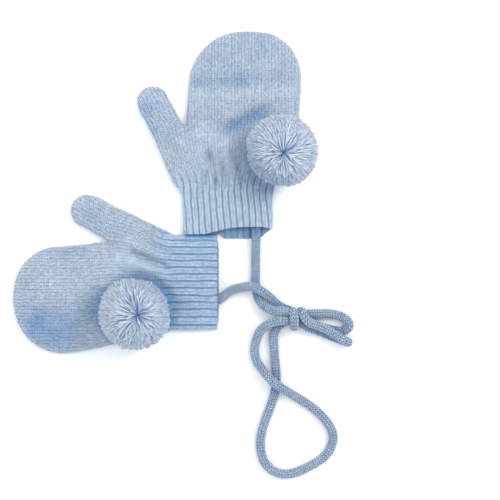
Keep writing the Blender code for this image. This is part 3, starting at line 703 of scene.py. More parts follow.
def makeSheet(cloths, mitten, inset, columnStep, steps, layer, flip):
    # one layer of cloth as a grid, with the parts of its edge that pieces share
    perWale = cloth["columnsPerWale"] / columnStep
    first, last = edgeWales(mitten)
    wales = np.arange(np.floor((first - 3) * perWale), np.ceil((last + 3) * perWale) + 1) / perWale
    cuffStep, handStep = steps
    top, crotch = cloth["cuffLength"], mitten["crotch"][1]
    split, cut = crotch - inset, crotch + cloth["thumbCut"]

    def run(branch, rows, piece, start=None):
        ids, order = start or rowOfPoints(cloths, mitten, branch, rows[0], wales, inset, layer)
        orders = [order]
        for row in rows[1:]:
            upper, order = rowOfPoints(cloths, mitten, branch, row, wales, inset, layer)
            for a, b, c, d in zip(*(x.tolist() for x in (ids[:-1], ids[1:], upper[1:], upper[:-1]))):
                cloths.face((a, d, c, b) if flip else (a, b, c, d), piece)
            ids = upper
            orders.append(order)
        return ids, orders

    def runOn(branch, ids, order, end, piece):
        ids, base = run(branch, evenRows(split, cut, handStep), "hand", (ids, order))
        rows = refined(mitten, branch, evenRows(cut, end - inset, handStep), inset)
        return base, run(branch, rows, piece, (ids, base[-1]))[1]

    def side(orders, end):
        return [order[end] for order in orders]

    def roundTip(orders):
        up, down = side(orders, 0), side(orders, -1)[::-1]
        return up + down[int(up[-1] == down[0]):]

    ids, cuffRows = run("whole", evenRows(0, top, cuffStep), "cuff")
    ids, handRows = run("whole", evenRows(top, split, handStep), "hand", (ids, cuffRows[-1]))
    # the row at the crotch is shared by the thumb and the palm
    order = handRows[-1]
    across = cloths.spots(order)[:, 0]
    thumbEnd = int(np.searchsorted(across, edgeAt(mitten, "thumbRight", split, inset))) - 1
    palmEnd = max(int(np.searchsorted(across, edgeAt(mitten, "palmLeft", split, inset))), thumbEnd + 1)
    thumbTop = mitten["thumbTip"][1] + mitten["thumbRadius"]
    thumbIds, palmIds = np.minimum(ids, order[thumbEnd]), np.maximum(ids, order[palmEnd])
    thumbBase, thumb = runOn("thumb", thumbIds, order[: thumbEnd + 1], thumbTop, "thumb")
    palmBase, palm = runOn("palm", palmIds, order[palmEnd:], mitten["tipAlong"], "hand")
    edge = {
        "cuffLeft": side(cuffRows, 0),
        "gusset": side(handRows, 0) + side(thumbBase, 0)[1:],
        "thumb": roundTip(thumb),
        "crotch": side(thumbBase, -1)[::-1] + order[thumbEnd + 1: palmEnd] + side(palmBase, 0),
        "palm": roundTip(palm) + side(palmBase, -1)[-2::-1] + side(handRows, -1)[-2::-1],
        "cuffRight": side(cuffRows, -1)[::-1],
    }
    return {"edge": edge, "hem": cuffRows[0], "top": cuffRows[-1], "cut": thumb[0]}


def outlineOf(mitten, spacing=0.02):
    # the mitten's outline from one corner of the mouth round to the other, as close points
    thumbTop = mitten["thumbTip"][1] + mitten["thumbRadius"]
    crotch, tip = mitten["crotch"][1], mitten["tipAlong"]
    sides = (("outer", -10, thumbTop, 1500), ("thumbRight", thumbTop, crotch, 700),
             ("palmLeft", crotch, tip, 900), ("right", tip, -10, 1800))
    line = np.array([(edgeAt(mitten, side, place, 0), place)
                     for side, start, stop, count in sides for place in np.linspace(start, stop, count)])
    reach = reachOf(line)
    return resampled(line, reach, np.arange(0, reach[-1], spacing))


def nearestOn(outline, spots):
    tree = KDTree(len(outline))
    for i, (across, along) in enumerate(outline):
        tree.insert((across, along, 0), i)
    tree.balance()
    found = np.array([tree.find((across, along, 0))[0][:2] for across, along in spots])
    return found, np.linalg.norm(found - spots, axis=1)


def foldsAt(mitten, across, along):
    # how far the folds lift or sink the cloth, and how much painted shade their troughs get and painted light
    # their ridges
    height, tone = np.zeros(len(across)), np.zeros(len(across))
    spots = np.column_stack((across, along))
    # the cloth also sinks along the pompom's side that is next to the cuff
    turns = np.radians(np.linspace(*mitten["sinkTurns"], 9))
    reach, *beside = cloth["sink"]
    around = np.array(mitten["pompom"]) + reach * np.column_stack((np.cos(turns), np.sin(turns)))
    for points, width, rise, fade in (*mitten["creases"], (around, *beside)):
        points = np.array(points)
        steps = np.linalg.norm(np.diff(points, axis=0), axis=1)
        best, share = np.full(len(across), 1e9), np.zeros(len(across))
        for i, step in enumerate(steps):
            line = points[i + 1] - points[i]
            t = np.clip(((spots - points[i]) @ line) / (line @ line), 0, 1)
            off = np.linalg.norm(spots - points[i] - t[:, None] * line, axis=1)
            share = np.where(off < best, (steps[:i].sum() + t * step) / steps.sum(), share)
            best = np.minimum(off, best)
        strength = easeInOut(np.minimum(share, 1 - share) / (fade / 2) + 0.25)
        height += rise * np.exp(-((best / width) ** 2)) * strength
        spread = np.exp(-((best / (cloth["foldShadeAndLightSpread"] * width)) ** 2))
        tone -= cloth["foldShadeAndLight"] * (width + 1) * rise * spread * strength
    return height, tone


def frontPuff(mitten, across, along, distance):
    grown = easeInOut((along - cloth["cuffLength"]) / (cloth["puffFullAt"] - cloth["cuffLength"]))
    height = cloth["cuffPuff"] + (cloth["handPuff"] - cloth["cuffPuff"]) * grown
    rise = 1 - np.exp(-np.maximum(distance - cloth["edgeRadius"], 0) / cloth["puffSpread"])
    overCord = np.exp(-(((across - mitten["cordAcross"]) / cloth["cordBulgeWidth"]) ** 2))
    most, length = cloth["cordBulgeFades"]
    fading = np.clip(most - along / length, 0, 1)
    folds = foldsAt(mitten, across, along)[0] * np.clip(distance / cloth["foldsFromEdge"], 0, 1)
    return height * rise + cloth["cordBulge"] * overCord * fading + folds


def waveNoise(across, along, seed, size):
    # a smooth uneven field from a few crossed waves
    rng = np.random.default_rng(seed)
    total = np.zeros(len(across))
    finer, lower = cloth["octaves"]
    for octave in range(3):
        for _ in range(5):
            angle, phase = rng.uniform(0, 2 * pi, 2)
            wave = 2 * pi / (size * rng.uniform(*cloth["waveSizes"]) / finer**octave)
            total += np.sin((across * cos(angle) + along * sin(angle)) * wave + phase) / lower**octave
    return total / 5


def bridge(cloths, first, second, piece, flip):
    # a band of faces between two runs of points, matched by how far along each one they are
    a, b = (line / max(line[-1], 1e-9) for line in (reachOf(cloths.spots(ids)) for ids in (first, second)))
    i = k = 0
    while i < len(first) - 1 or k < len(second) - 1:
        if k == len(second) - 1 or (i < len(first) - 1 and a[i + 1] <= b[k + 1]):
            corners = (first[i], first[i + 1], second[k])
            i += 1
        else:
            corners = (first[i], second[k + 1], second[k])
            k += 1
        cloths.face(corners[::-1] if flip else corners, piece)


def makeLayer(cloths, mitten, outline, wall, angles, frontGrid, backGrid, flip):
    # a whole tube of cloth: front layer, rolled edge and back layer
    full = cloth["edgeRadius"]
    radius = full - wall
    layer = "inner" if wall else "outer"
    inset = wall + cloth["frontInset"] * radius / full
    front = makeSheet(cloths, mitten, inset, *frontGrid, layer + "Front", flip)
    back = makeSheet(cloths, mitten, wall + radius, *backGrid, layer + "Back", not flip)

    grid = [i for i, point in enumerate(cloths.points) if point[4] == layer + "Front"]
    spots = cloths.spots(grid)[:, :2]
    nearest, distance = nearestOn(outline, spots)
    rolled = np.sqrt(np.maximum(radius**2 - np.maximum(radius - (distance - wall), 0) ** 2, 0))
    height = full + rolled + frontPuff(mitten, spots[:, 0], spots[:, 1], distance)
    outward = dict(zip(grid, (nearest - spots) / np.maximum(distance, 1e-6)[:, None]))
    reach = dict(zip(grid, distance))
    for i, z in zip(grid, height):
        cloths.points[i][2] = float(z)
    for point in cloths.points:
        if point[4] == layer + "Back":
            point[2] = wall

    # the rolled edge: a ladder of points for each point on the front layer's edge
    ladders = {}
    for i in dict.fromkeys(i for edge in front["edge"].values() for i in edge):
        across, along, z, wale, _ = cloths.points[i]
        normal = outward[i]
        start = np.arccos(np.clip(1 - (reach[i] - wall) / radius, -1, 1))
        extra = z - full - radius * sin(start)
        waleWidth = cloth["rollWale"] if along < cloth["cuffLength"] else mitten["ribPitch"] / 2.1
        ladders[i] = [i]
        for turn in map(radians, angles):
            out = reach[i] - wall - radius * (1 - cos(turn))
            arc = radius * (start - turn)
            z = full + radius * sin(turn) + extra * max(sin(turn), 0) / sin(start)
            ladders[i].append(cloths.add(across + normal[0] * out, along + normal[1] * out, z,
                                         wale + normal[0] * arc / waleWidth, layer + "Edge"))
    for name, edge in front["edge"].items():
        for i, j in zip(edge, edge[1:]):
            for a, b, c, d in zip(ladders[i], ladders[j], ladders[j][1:], ladders[i][1:]):
                cloths.face((d, c, b, a) if flip else (a, b, c, d), pieceOfEdge[name])
        bridge(cloths, [ladders[i][-1] for i in edge], back["edge"][name], pieceOfEdge[name], flip)

    def loop(over, under):
        return over, ladders[over[-1]] + [under[-1]], under[::-1], [under[0]] + ladders[over[0]][::-1]

    return {row: loop(front[row], back[row]) for row in ("hem", "top", "cut")}


def closeHem(cloths, outer, inner):
    # a rounded edge at the mouth, with its corners shared
    made = {}
    for first, second in zip(outer, inner):
        own, other = cloths.spots(first), cloths.spots(second)
        reach, steps = reachOf(own), reachOf(other)
        match = resampled(other, steps / steps[-1], reach / reach[-1])
        rings = [first]
        for share, drop in cloth["hemRound"]:
            for i, spot in zip(first, own + (match - own) * share):
                if (i, share) not in made:
                    wale = cloths.points[i][3]
                    made[i, share] = cloths.add(spot[0], spot[1] - drop, spot[2], wale, "hem")
            rings.append([made[i, share] for i in first])
        for low, high in zip(rings, rings[1:]):
            for a, b, c, d in zip(low, low[1:], high[1:], high):
                cloths.face((b, a, d, c), "cuff")
        bridge(cloths, rings[-1], second, "cuff", True)


def buildMitten(mitten):
    cloths = Cloth()
    outline = outlineOf(mitten)
    row = cloth["courseHeight"] / cloth["rowsPerCourse"]
    fine, plain, lining = (1, (row, row)), (3, (4 * row, 4 * row)), (3, (4 * row, 6 * row))
    outer = makeLayer(cloths, mitten, outline, 0.0, cloth["rollAngles"], fine, plain, False)
    inner = makeLayer(cloths, mitten, outline, cloth["wall"], cloth["liningAngles"], lining, lining, True)
    closeHem(cloths, outer["hem"], inner["hem"])
    for rim, piece, flip in (("top", "cuffTop", False), ("top", "handBase", True),
                             ("cut", "handThumb", False), ("cut", "thumbBase", True)):
        for first, second in zip(outer[rim], inner[rim]):
            bridge(cloths, first, second, piece, flip)
    return cloths


def cuffDrop(mitten, points, kinds):
    # the rows of the cuff follow the hem's own line on the front and on the back layer
    across, along, height = points.T
    share = along / cloth["cuffLength"]
    frontHem, backHem = smoothTable(mitten["frontHem"], across), smoothTable(mitten["backHem"], across)
    blend = np.clip((height - 1.0) / (2 * (cloth["edgeRadius"] - 1.0)), 0, 1)
    blend = np.where(np.char.endswith(kinds, "Back"), 0.0, blend)
    blend = np.where(np.char.endswith(kinds, "Front"), 1.0, blend)
    hem = backHem + (frontHem - backHem) * blend
    return np.where(share < 1, along + hem * (1 - np.clip(share, None, 1)), along)


def vertexNormals(points, faces):
    normals = np.zeros_like(points)
    for count in (3, 4):
        chosen = np.array([f for f in faces if len(f) == count])
        corners = points[chosen]
        face = np.cross(corners[:, 2] - corners[:, 0], corners[:, -1] - corners[:, 1])
        for k in range(count):
            np.add.at(normals, chosen[:, k], face)
    return unit(normals)


def ribHeight(mitten, wale, along):
    # grooves between the ribs, which run out unevenly into the hand
    inRib = wale - 3 * np.floor(wale / 3)
    groove = np.where(inRib > 2, np.sin(pi * np.clip(inRib - 2, 0, 1)) ** 0.8, 0)
    crown = np.where(inRib < 2, np.sin(pi * np.clip(inRib, 0, 2) / 2), 0)
    most, turn = cloth["ribUneven"]
    uneven = np.sin(np.floor(wale / 3) * turn + mitten["seed"]) * most
    fading = 1 - easeInOut((along - cloth["ribFadeFrom"]) / (cloth["ribFadeOver"] + uneven))
    return (cloth["ribCrown"] * (crown - 1) - cloth["ribDepth"] * groove) * fading


def courseAt(mitten, across, along, wale):
    # courses run across the palm, and square to the thumb on the thumb
    tip = np.array(mitten["thumbTip"])
    start, wales, low, rows = cloth["thumbCourses"]
    onThumb = (np.column_stack((across, along)) - tip) @ np.array(mitten["thumbLean"])
    onThumb += tip[1] - start
    turned = np.clip((mitten["divideWale"] - wale) / wales, 0, 1) * easeInOut((along - low) / rows)
    return (along * (1 - turned) + onThumb * turned) / cloth["courseHeight"]


def paintedShadeAt(mitten, points, wale, inner, hem):
    # painted shade makes recesses deeper blue: under the pompom's edge, down in the creases, and inside; the
    # ribs get painted light
    across, along, height = points.T
    aside, beyond = across - mitten["pompom"][0], along - mitten["pompom"][1]
    level, swing, turn, reach = mitten["ring"]
    ring = level + swing * np.cos(np.arctan2(beyond, aside) - radians(turn))
    ring *= 1 - easeInOut((np.hypot(aside, beyond) - paintedRecessShade["ringFrom"]) / reach)
    shade, paintedBlueShade = (share * ring for share in paintedRecessShade["ringShares"])
    shade += np.clip(foldsAt(mitten, across, along)[1], *paintedRecessShade["folds"])
    inRib = wale / 3 - np.floor(wale / 3)
    start, length = paintedRecessShade["cuffFades"]
    inCuff = (1 - easeInOut((along - start) / length)) * (height > 2)
    place, width, deeper, bluer = paintedRecessShade["groove"]
    groove = np.exp(-(((inRib - place) / width) ** 2))
    # painted shade in the rib grooves, painted light over the ribs, and bluer painted shade over the whole
    # cuff
    shade += inCuff * (deeper * groove - mitten["cuffPaintedLight"])
    paintedBlueShade += inCuff * (bluer * groove + mitten["cuffPaintedShade"])
    # painted shadow where the other mitten's hem lies over this cuff, and along this hem where it lies over
    # the other cuff
    if "contact" in mitten:
        place, low, high = mitten["contact"]
        width, amount = paintedRecessShade["contact"]
        paintedBlueShade += amount * (along > low) * (along < high) * np.exp(-(((across - place) / width) ** 2))
    paintedBlueShade = np.where(hem & (across < mitten["darkHemTo"]), paintedRecessShade["hem"], paintedBlueShade)
    # the inner layers, seen through the mouth, get bluer painted shade, deeper in the grooves and beside the
    # cord
    level, swing, place = paintedRecessShade["inside"]
    width, amount = paintedRecessShade["byCord"]
    byCord = amount * np.exp(-(((across - mitten["cordAcross"]) / width) ** 2))
    paintedBlueShade = np.where(inner, level + swing * np.cos(2 * pi * (inRib - place)) + byCord, paintedBlueShade)
    return {"shade": np.where(inner, 0.0, shade), "paintedBlueShade": np.clip(paintedBlueShade, 0, paintedRecessShade["most"])}


def knitted(mitten, cloths):
    # the points moved out or in by stitches and ribs, their places in the knitting and their painted shade
    # and light
    points = cloths.spots(range(len(cloths.points)))
    wale = np.array([point[3] for point in cloths.points], float)
    kinds = np.array([point[4] for point in cloths.points])
    inner, hem = np.char.startswith(kinds, "inner"), kinds == "hem"
    onFloor = np.char.endswith(kinds, "Back") & ~inner
    normals = vertexNormals(points, [f for f, tag in zip(cloths.faces, cloths.tags) if tag in pieceTags])
    normals[inner] *= -1

    across, along, _ = points.T
    course = courseAt(mitten, across, along, wale)
    tones = np.random.default_rng(mitten["seed"]).uniform(*cloth["stitchUneven"], (400, 400))
    own = tones[np.floor(wale * 2).astype(int) % 400, np.floor(course).astype(int) % 400]
    height = cloth["stitchDepth"] * (stitchPattern(wale, course) * own - 1)
    height = np.where(inner, cloth["liningDepth"] * height, height) + ribHeight(mitten, wale, along)
    rise, size = cloth["waves"]
    height += rise * waveNoise(across, along, mitten["seed"], size)
    height = np.where(onFloor, 0, np.where(hem, height * 0.5, height))
    points[:, 1] = cuffDrop(mitten, points, kinds)
    start, length = cloth["wanderFades"]
    most, size = cloth["wander"]
    wander = most * (1 - easeInOut((points[:, 1] - start) / length))
    points[:, 0] += wander * waveNoise(points[:, 0], points[:, 1], mitten["seed"] + 1, size)
    tones = paintedShadeAt(mitten, points, wale, inner, hem)
    points += normals * height[:, None]
    points[:, 2] = np.maximum(points[:, 2], cloth["lowest"])
    return points, np.column_stack((wale, course)), tones, ~inner & ~onFloor & ~hem


def placedPoints(mitten, points):
    angle = radians(mitten["turn"])
    x, y = points[:, 0] * mitten["mirror"], points[:, 1]
    return np.column_stack((
        mitten["mouth"][0] + x * cos(angle) - y * sin(angle),
        mitten["mouth"][1] + x * sin(angle) + y * cos(angle),
        points[:, 2],
    ))


def makeMitten(mitten, material, loose):
    cloths = buildMitten(mitten)
    points, places, tones, outside = knitted(mitten, cloths)
    points = placedPoints(mitten, points)
    faces = [face[::mitten["mirror"]] for face in cloths.faces]
    normals = vertexNormals(points, [f for f, tag in zip(faces, cloths.tags) if tag in pieceTags])
    seen = {kind: values[outside] for kind, values in tones.items()}
    fibres = makeFuzz(mitten["name"] + "_fuzz", points[outside], normals[outside], seen,
                      fuzz["onMitten"], mitten["seed"], loose, "knit")
    for part, owned in pieceTags.items():
        own = [f for f, tag in zip(faces, cloths.tags) if tag in owned]
        corners = np.concatenate(own)
        used = np.unique(corners)
        local = {int(i): k for k, i in enumerate(used)}
        name = f"{mitten['name']}_{part}"
        piece = meshObject(name + "Knit", points[used], [tuple(local[i] for i in f) for f in own],
                           material, places[corners], normals[used])
        for kind, values in tones.items():
            paint(piece, kind, values[used])
        register(piece, "knit", name)
    return points[outside]


# the cord is one knitted tube that joins the mittens. Its centre line is across the floor in X and Y, and
# up in Z, and each strand is listed from the cuff or the knot outwards
leadUpper = (
    (58.3, -18.6, 5.3), (58.3, -27.0, 5.4), (58.2, -32.6, 5.1), (58.1, -39.5, 3.5), (58.0, -50.0, 3.05),
    (58.0, -58.5, 3.05), (59.3, -65.6, 3.9), (62.0, -70.7, 6.1), (66.4, -73.9, 8.2), (71.4, -75.2, 9.2),
    (76.9, -75.4, 9.4),
)
leadLower = (
    (25.0, -69.4, 5.3), (33.5, -68.9, 5.4), (37.8, -66.2, 4.5), (42.4, -62.4, 4.9), (48.6, -60.5, 7.2),
    (55.5, -59.9, 9.4), (61.5, -62.5, 9.0), (67.2, -66.9, 5.9), (71.8, -71.4, 3.6), (76.4, -74.0, 3.05),
    (79.6, -75.0, 4.2),
)
upperBight = (
    (91.0, -77.4, 8.0), (98.0, -77.2, 5.0), (105.0, -77.2, 3.2), (112.0, -78.8, 3.05), (116.5, -81.8, 3.05),
    (117.4, -85.4, 3.05), (113.6, -88.0, 3.05), (106.0, -87.4, 3.05), (98.0, -85.2, 3.05), (91.0, -83.4, 3.6),
)
longLoop = (
    (76.9, -81.5, 9.4), (72.4, -81.5, 9.3), (67.0, -83.2, 8.6), (62.0, -86.8, 6.6), (59.0, -92.6, 4.0),
    (57.3, -99.6, 3.05), (58.4, -106.6, 3.4), (61.6, -111.4, 5.4), (67.3, -118.4, 9.4), (74.8, -124.4, 6.8),
    (84.8, -130.7, 3.3), (94.4, -137.0, 3.05), (102.4, -144.8, 3.05), (106.9, -152.8, 3.05),
    (106.6, -160.2, 3.05), (102.0, -167.6, 3.05), (92.6, -173.7, 3.05), (83.5, -177.8, 3.05),
    (75.9, -178.9, 3.05), (68.2, -176.3, 3.05), (62.7, -169.4, 3.05), (61.0, -159.2, 3.05),
    (62.6, -149.6, 3.05), (66.4, -139.0, 3.05), (69.6, -129.4, 3.05), (71.1, -120.4, 3.05),
    (70.8, -111.0, 3.05), (69.7, -99.0, 3.05), (69.7, -90.4, 3.05), (72.4, -84.8, 3.05), (76.9, -82.2, 3.3),
)
lowerBight = (
    (91.5, -85.6, 6.2), (98.0, -87.9, 4.2), (104.0, -90.6, 3.05), (109.0, -92.5, 3.05), (113.4, -94.2, 3.1),
    (116.1, -95.1, 4.7), (116.4, -95.0, 7.5), (114.0, -93.8, 9.2), (109.6, -91.0, 9.2), (104.0, -87.6, 9.0),
    (98.0, -84.8, 9.4), (93.4, -83.2, 10.8), (90.2, -81.0, 12.1), (88.4, -78.4, 12.2), (87.4, -76.3, 10.6),
)
inKnot = (  # the three strands that run through the turn of the knot
    ((80.6, -77.4, 8.7), (84.5, -78.9, 8.3), (88.0, -78.6, 8.2)),
    ((87.4, -80.8, 4.8), (84.0, -80.4, 5.8), (80.4, -81.7, 5.4)),
    ((80.6, -81.4, 8.6), (84.4, -82.8, 8.0), (88.0, -84.3, 7.4)),
)
cord = {
    "radius": 2.95,
    "narrow": 2.3,  # inside the knot, where the strands are pulled together
    "wales": 9,
    "samplesPerWale": 5,
    "rowStep": 0.43,
    "courseHeight": 1.8,
    "stitchDepth": 0.65,
    "stitchUneven": (0.8, 1.1),
    "stitchMiddle": 0.8,  # the stitch height that is on the cord's radius
    "wrapCentre": (-80.4, 7.75),  # Y and Z
    "wrapRadii": (4.85, 4.75),
    "wrapTop": 81.9,  # X where the last turn crosses on top
    "wrapStep": 5.6,
    "wrapAngles": (-12.0, -372.0),
    "bulge": 0.5,
    "endRound": 0.8,
    "endTone": (0.9, 3.0, 6.0),  # shade at a cuff, from where it fades and over what length
    "underTone": (0.8, 2.5, 15.0, 8.5),  # shade under a strand, height and length between them, width
    "lowest": 0.03,
    "seeds": (3, 4),
}


def wrapPoints():
    # a turn round the knot, square to it on top and slanting underneath
    turns = np.radians(np.linspace(*cord["wrapAngles"], 24))
    slant = cord["wrapStep"] / (2 * pi)
    return np.column_stack((
        cord["wrapTop"] + slant * (turns + 1.5 * pi + np.cos(turns)) + cord["bulge"] * np.sin(turns),
        cord["wrapCentre"][0] + cord["wrapRadii"][0] * np.cos(turns),
        cord["wrapCentre"][1] + cord["wrapRadii"][1] * np.sin(turns),
    ))


def cordRoute():
    # in order along the cord, with how tight the strand is at each point
    parts = (
        (leadUpper, 0), (inKnot[0], 1), (upperBight, 0), (inKnot[1], 1), (longLoop[::-1], 0),
        (inKnot[2], 1), (lowerBight, 0), (wrapPoints(), 0), (leadLower[::-1], 0),
    )
    return np.vstack([part for part, _ in parts]), [tight for part, tight in parts for _ in part]


def evenRoute(points, marks, step):
    # a Catmull-Rom curve through the points, cut into even steps
    gaps = np.sqrt(np.linalg.norm(np.diff(points, axis=0), axis=1))
    ends = np.vstack((2 * points[0] - points[1], points, 2 * points[-1] - points[-2]))
    gaps = np.concatenate((gaps[:1], gaps, gaps[-1:]))
    t = np.linspace(0, 1, 40, endpoint=False)[:, None]
    line, tight = [], []
    for i in range(len(points) - 1):
        p0, p1, p2, p3 = ends[i: i + 4]
        g0, g1, g2 = gaps[i: i + 3]
        m1 = (p2 - p1) - g1 * ((p2 - p0) / (g0 + g1) - (p1 - p0) / g0)
        m2 = (p2 - p1) + g1 * ((p3 - p2) / g2 - (p3 - p1) / (g1 + g2))
        line.append((2 * t**3 - 3 * t**2 + 1) * p1 + (t**3 - 2 * t**2 + t) * m1
                    + (3 * t**2 - 2 * t**3) * p2 + (t**3 - t**2) * m2)
        tight.append(marks[i] + (marks[i + 1] - marks[i]) * t[:, 0])
    line, tight = np.vstack(line + [points[-1:]]), np.concatenate(tight + [marks[-1:]])
    reach = reachOf(line)
    places = np.linspace(0, reach[-1], int(reach[-1] / step) + 1)
    return resampled(line, reach, places), np.interp(places, reach, tight), places


def carriedFrames(route):
    # side vectors that turn as little as they can along the route
    tangents = unit(np.gradient(route, axis=0))
    side = np.cross(tangents[0], (0, 0, 1.0))
    sides = []
    for tangent in tangents:
        side = side - tangent * (side @ tangent)
        side /= np.linalg.norm(side)
        sides.append(side)
    return np.array(sides), np.cross(tangents, sides)


def cordPaintedShade(route, places):
    # painted shade: deeper where the cord leaves a cuff, and painted shadow where another strand lies close
    # above
    most, start, length = cord["endTone"]
    fromEnd = np.minimum(places - start, places[-1] - start - places)
    tone = most * np.exp(-(fromEnd / length).clip(0) ** 2)
    most, above, apart, width = cord["underTone"]
    some = slice(None, None, 6)
    for k, spot in enumerate(route):
        higher = (route[some, 2] > spot[2] + above) & (np.abs(places[some] - places[k]) > apart)
        if higher.any():
            gap = np.linalg.norm(route[some][higher, :2] - spot[:2], axis=1).min()
            tone[k] = max(tone[k], most * (1 - gap / width))
    return tone


def makeCord(material, loose):
    route, tight, places = evenRoute(*cordRoute(), cord["rowStep"])
    sides, ups = carriedFrames(route)
    around = cord["wales"] * cord["samplesPerWale"]
    wales = np.arange(around) / cord["samplesPerWale"]
    angles = 2 * pi * wales[:, None] / cord["wales"]
    radius = cord["radius"] + (cord["narrow"] - cord["radius"]) * easeInOut(tight)
    course = places / cord["courseHeight"]
    stitchSeed, fuzzSeed = cord["seeds"]
    tones = np.random.default_rng(stitchSeed).uniform(
        *cord["stitchUneven"], (int(course[-1]) + 3, 2 * cord["wales"]))
    own = tones[course.astype(int)[:, None], np.arange(around) * 2 // cord["samplesPerWale"]]
    height = cord["stitchDepth"] * (stitchPattern(wales, course[:, None]) * own - cord["stitchMiddle"])
    outward = np.cos(angles) * sides[:, None] + np.sin(angles) * ups[:, None]
    points = (route[:, None] + (radius[:, None] + height)[..., None] * outward).reshape(-1, 3)
    points[:, 2] = np.maximum(points[:, 2], cord["lowest"])

    grid = np.arange(len(points)).reshape(len(route), around)
    after = np.roll(grid, -1, axis=1)
    faces = np.stack((grid[:-1], after[:-1], after[1:], grid[1:]), axis=-1).reshape(-1, 4).tolist()
    uv = np.empty((len(route) - 1, around, 4, 2))
    uv[..., (0, 3), 0] = wales[:, None]
    uv[..., (1, 2), 0] = np.append(wales[1:], cord["wales"])[:, None]
    uv[..., (0, 1), 1] = course[:-1, None, None]
    uv[..., (2, 3), 1] = course[1:, None, None]
    # a low point closes each end
    for ring, last, before in ((grid[0][::-1], route[0], route[1]), (grid[-1], route[-1], route[-2])):
        faces += [(int(a), int(b), len(points)) for a, b in zip(ring, np.roll(ring, -1))]
        points = np.vstack((points, last + cord["endRound"] * (last - before)))
    corners = np.vstack((uv.reshape(-1, 2), np.zeros((6 * around, 2))))
    piece = meshObject("knottedCord", points, faces, material, corners)
    tone = np.repeat(cordPaintedShade(route, places), around)
    paint(piece, "shade", np.append(tone, [cord["endTone"][0]] * 2))
    outward = (points[:len(tone)] - np.repeat(route, around, axis=0)) / cord["radius"]
    fibres = makeFuzz("cordFuzz", points[:len(tone)], outward, {"shade": tone}, fuzz["onCord"], fuzzSeed,
                      loose, "cord_knit")
    register(piece, "cord_knit", "cord_lead_lower", "cord_lead_upper", "cord_loop", "cord_knot")


# a pompom is yarn strands tied at the middle, cut and trimmed to a ball
pompom = {
    "radius": 22.0,
    "centreHeight": 29.6,
    "sunk": 0.3,  # how far its strands press into the cloth
    "tooLow": 3.5,  # a strand that would be this far inside the cloth is left out
    "petals": 175,  # long strands that lie over the top, round the tie
    "petalTips": (16.0, 52.0),  # degrees from the tie to their tips
    "petalBase": (0.84, 0.26, 0.7),  # where they start, as shares of the radius, and how unevenly
    "petalBend": (1.5, 0.95, 0.6),  # degrees at the start, and how fast they bend and reach out
    "petalScatter": (0.03, 2.5),  # of their turn round the tie, and of their tips' degrees from it
    "petalClumps": (0.055, 23.0),
    "petalRadius": 0.6,
    "petalSway": 0.7,
    "petalPaintedShade": (0.10, 0.52, 0.80, 1),  # painted shade, darkest at the tie and gone at the tip
    "ends": 3900,  # strands of which only the cut end shows
    "endsFrom": 30.0,
    "endsTo": -0.88,  # height of the lowest, as a share of the radius
    "endScatter": (0.012, 0.02),
    "endSlant": 22.0,
    "endRadius": 0.64,
    "endSway": 0.35,
    # painted shade along an end, darkest deep in the ball
    "endPaintedShade": (0.10, 0.52, 0.75, 1),
    "fewerEnds": (26.0, 24.0, 50.0),  # degrees from the tie where ends start, and over how many more
    "thickness": (0.82, 1.12),
    "taper": ((0, 0.4, 0.9, 1), (0.6, 0.95, 1.0, 0.8)),  # thickness along a strand
    "toneAt": (0, 0.3, 0.6, 1),
    "restsFrom": 75.0,  # degrees from the tie beyond which strands lie on the cloth
    "tones": (0.54, 1.18),
    "uneven": 0.5,
    "core": 17.0,
    "coreGrid": (14, 24),
    # painted shade on the middle ball
    "corePaintedShade": 0.05,
    "pressed": 1.4,  # how far the side over the palm's middle is pressed in
    "pressedFrom": (0.35, 0.4),
    "pressedBelow": (0.85, 0.3),
    "light": (0.58, 0.64, 0.72, 1.0),
    # the dark colour for painted shade deep in the ball and for darker strands
    "darkToneAndShade": (0.035, 0.160, 0.38, 1.0),
    "fibre": (2200.0, 2.0, 0.7),
    "fibreMottle": 0.3,
    "bump": 0.6,
    "bumpDepth": 0.0003,
    "surface": {**nap, "Roughness": 0.9, "Sheen Weight": 0.25},
}


def pompomMaterial(name):
    material, surface, nodes = newMaterial(name, pompom["surface"])
    # the tone holds each strand's own tone and the painted shade deeper in the ball, on its pressed side and
    # on its core
    tone = nodes.add("Attribute", {"attribute_name": "tone"}, "Fac")
    fibre, amount = nodes.noise(*pompom["fibre"]), pompom["fibreMottle"]
    share = nodes.maths("ADD", tone, nodes.maths("MULTIPLY_ADD", fibre, amount, -0.5 * amount))
    nodes.join(nodes.mix(share, pompom["darkToneAndShade"], pompom["light"]), surface["Base Color"])
    bump = nodes.add("Bump", Height=fibre, Strength=pompom["bump"], Distance=pompom["bumpDepth"])
    nodes.join(bump, surface["Normal"])
    return material


def tubeAlong(points, radii, sides):
    # rings round a short line, closed with a low point at the tip
    tangents = unit(np.gradient(points, axis=0))
    first = unit(np.cross(tangents, (0.31, 0.57, 0.76)))
    second = np.cross(tangents, first)
    turn = 2 * pi * np.arange(sides)[:, None] / sides
    rings = points[:, None] + radii[:, None, None] * (
        np.cos(turn) * first[:, None] + np.sin(turn) * second[:, None])
    spots = np.vstack((rings.reshape(-1, 3), points[-1] + tangents[-1] * radii[-1] * 0.5))
    faces, last = [], (len(points) - 1) * sides
    for a in range(len(points) * sides):
        b = a + 1 if (a + 1) % sides else a + 1 - sides
        faces.append((a, b, b + sides, a + sides) if a < last else (a, b, last + sides))
    faces.append(tuple(range(sides))[::-1])
    return spots, faces


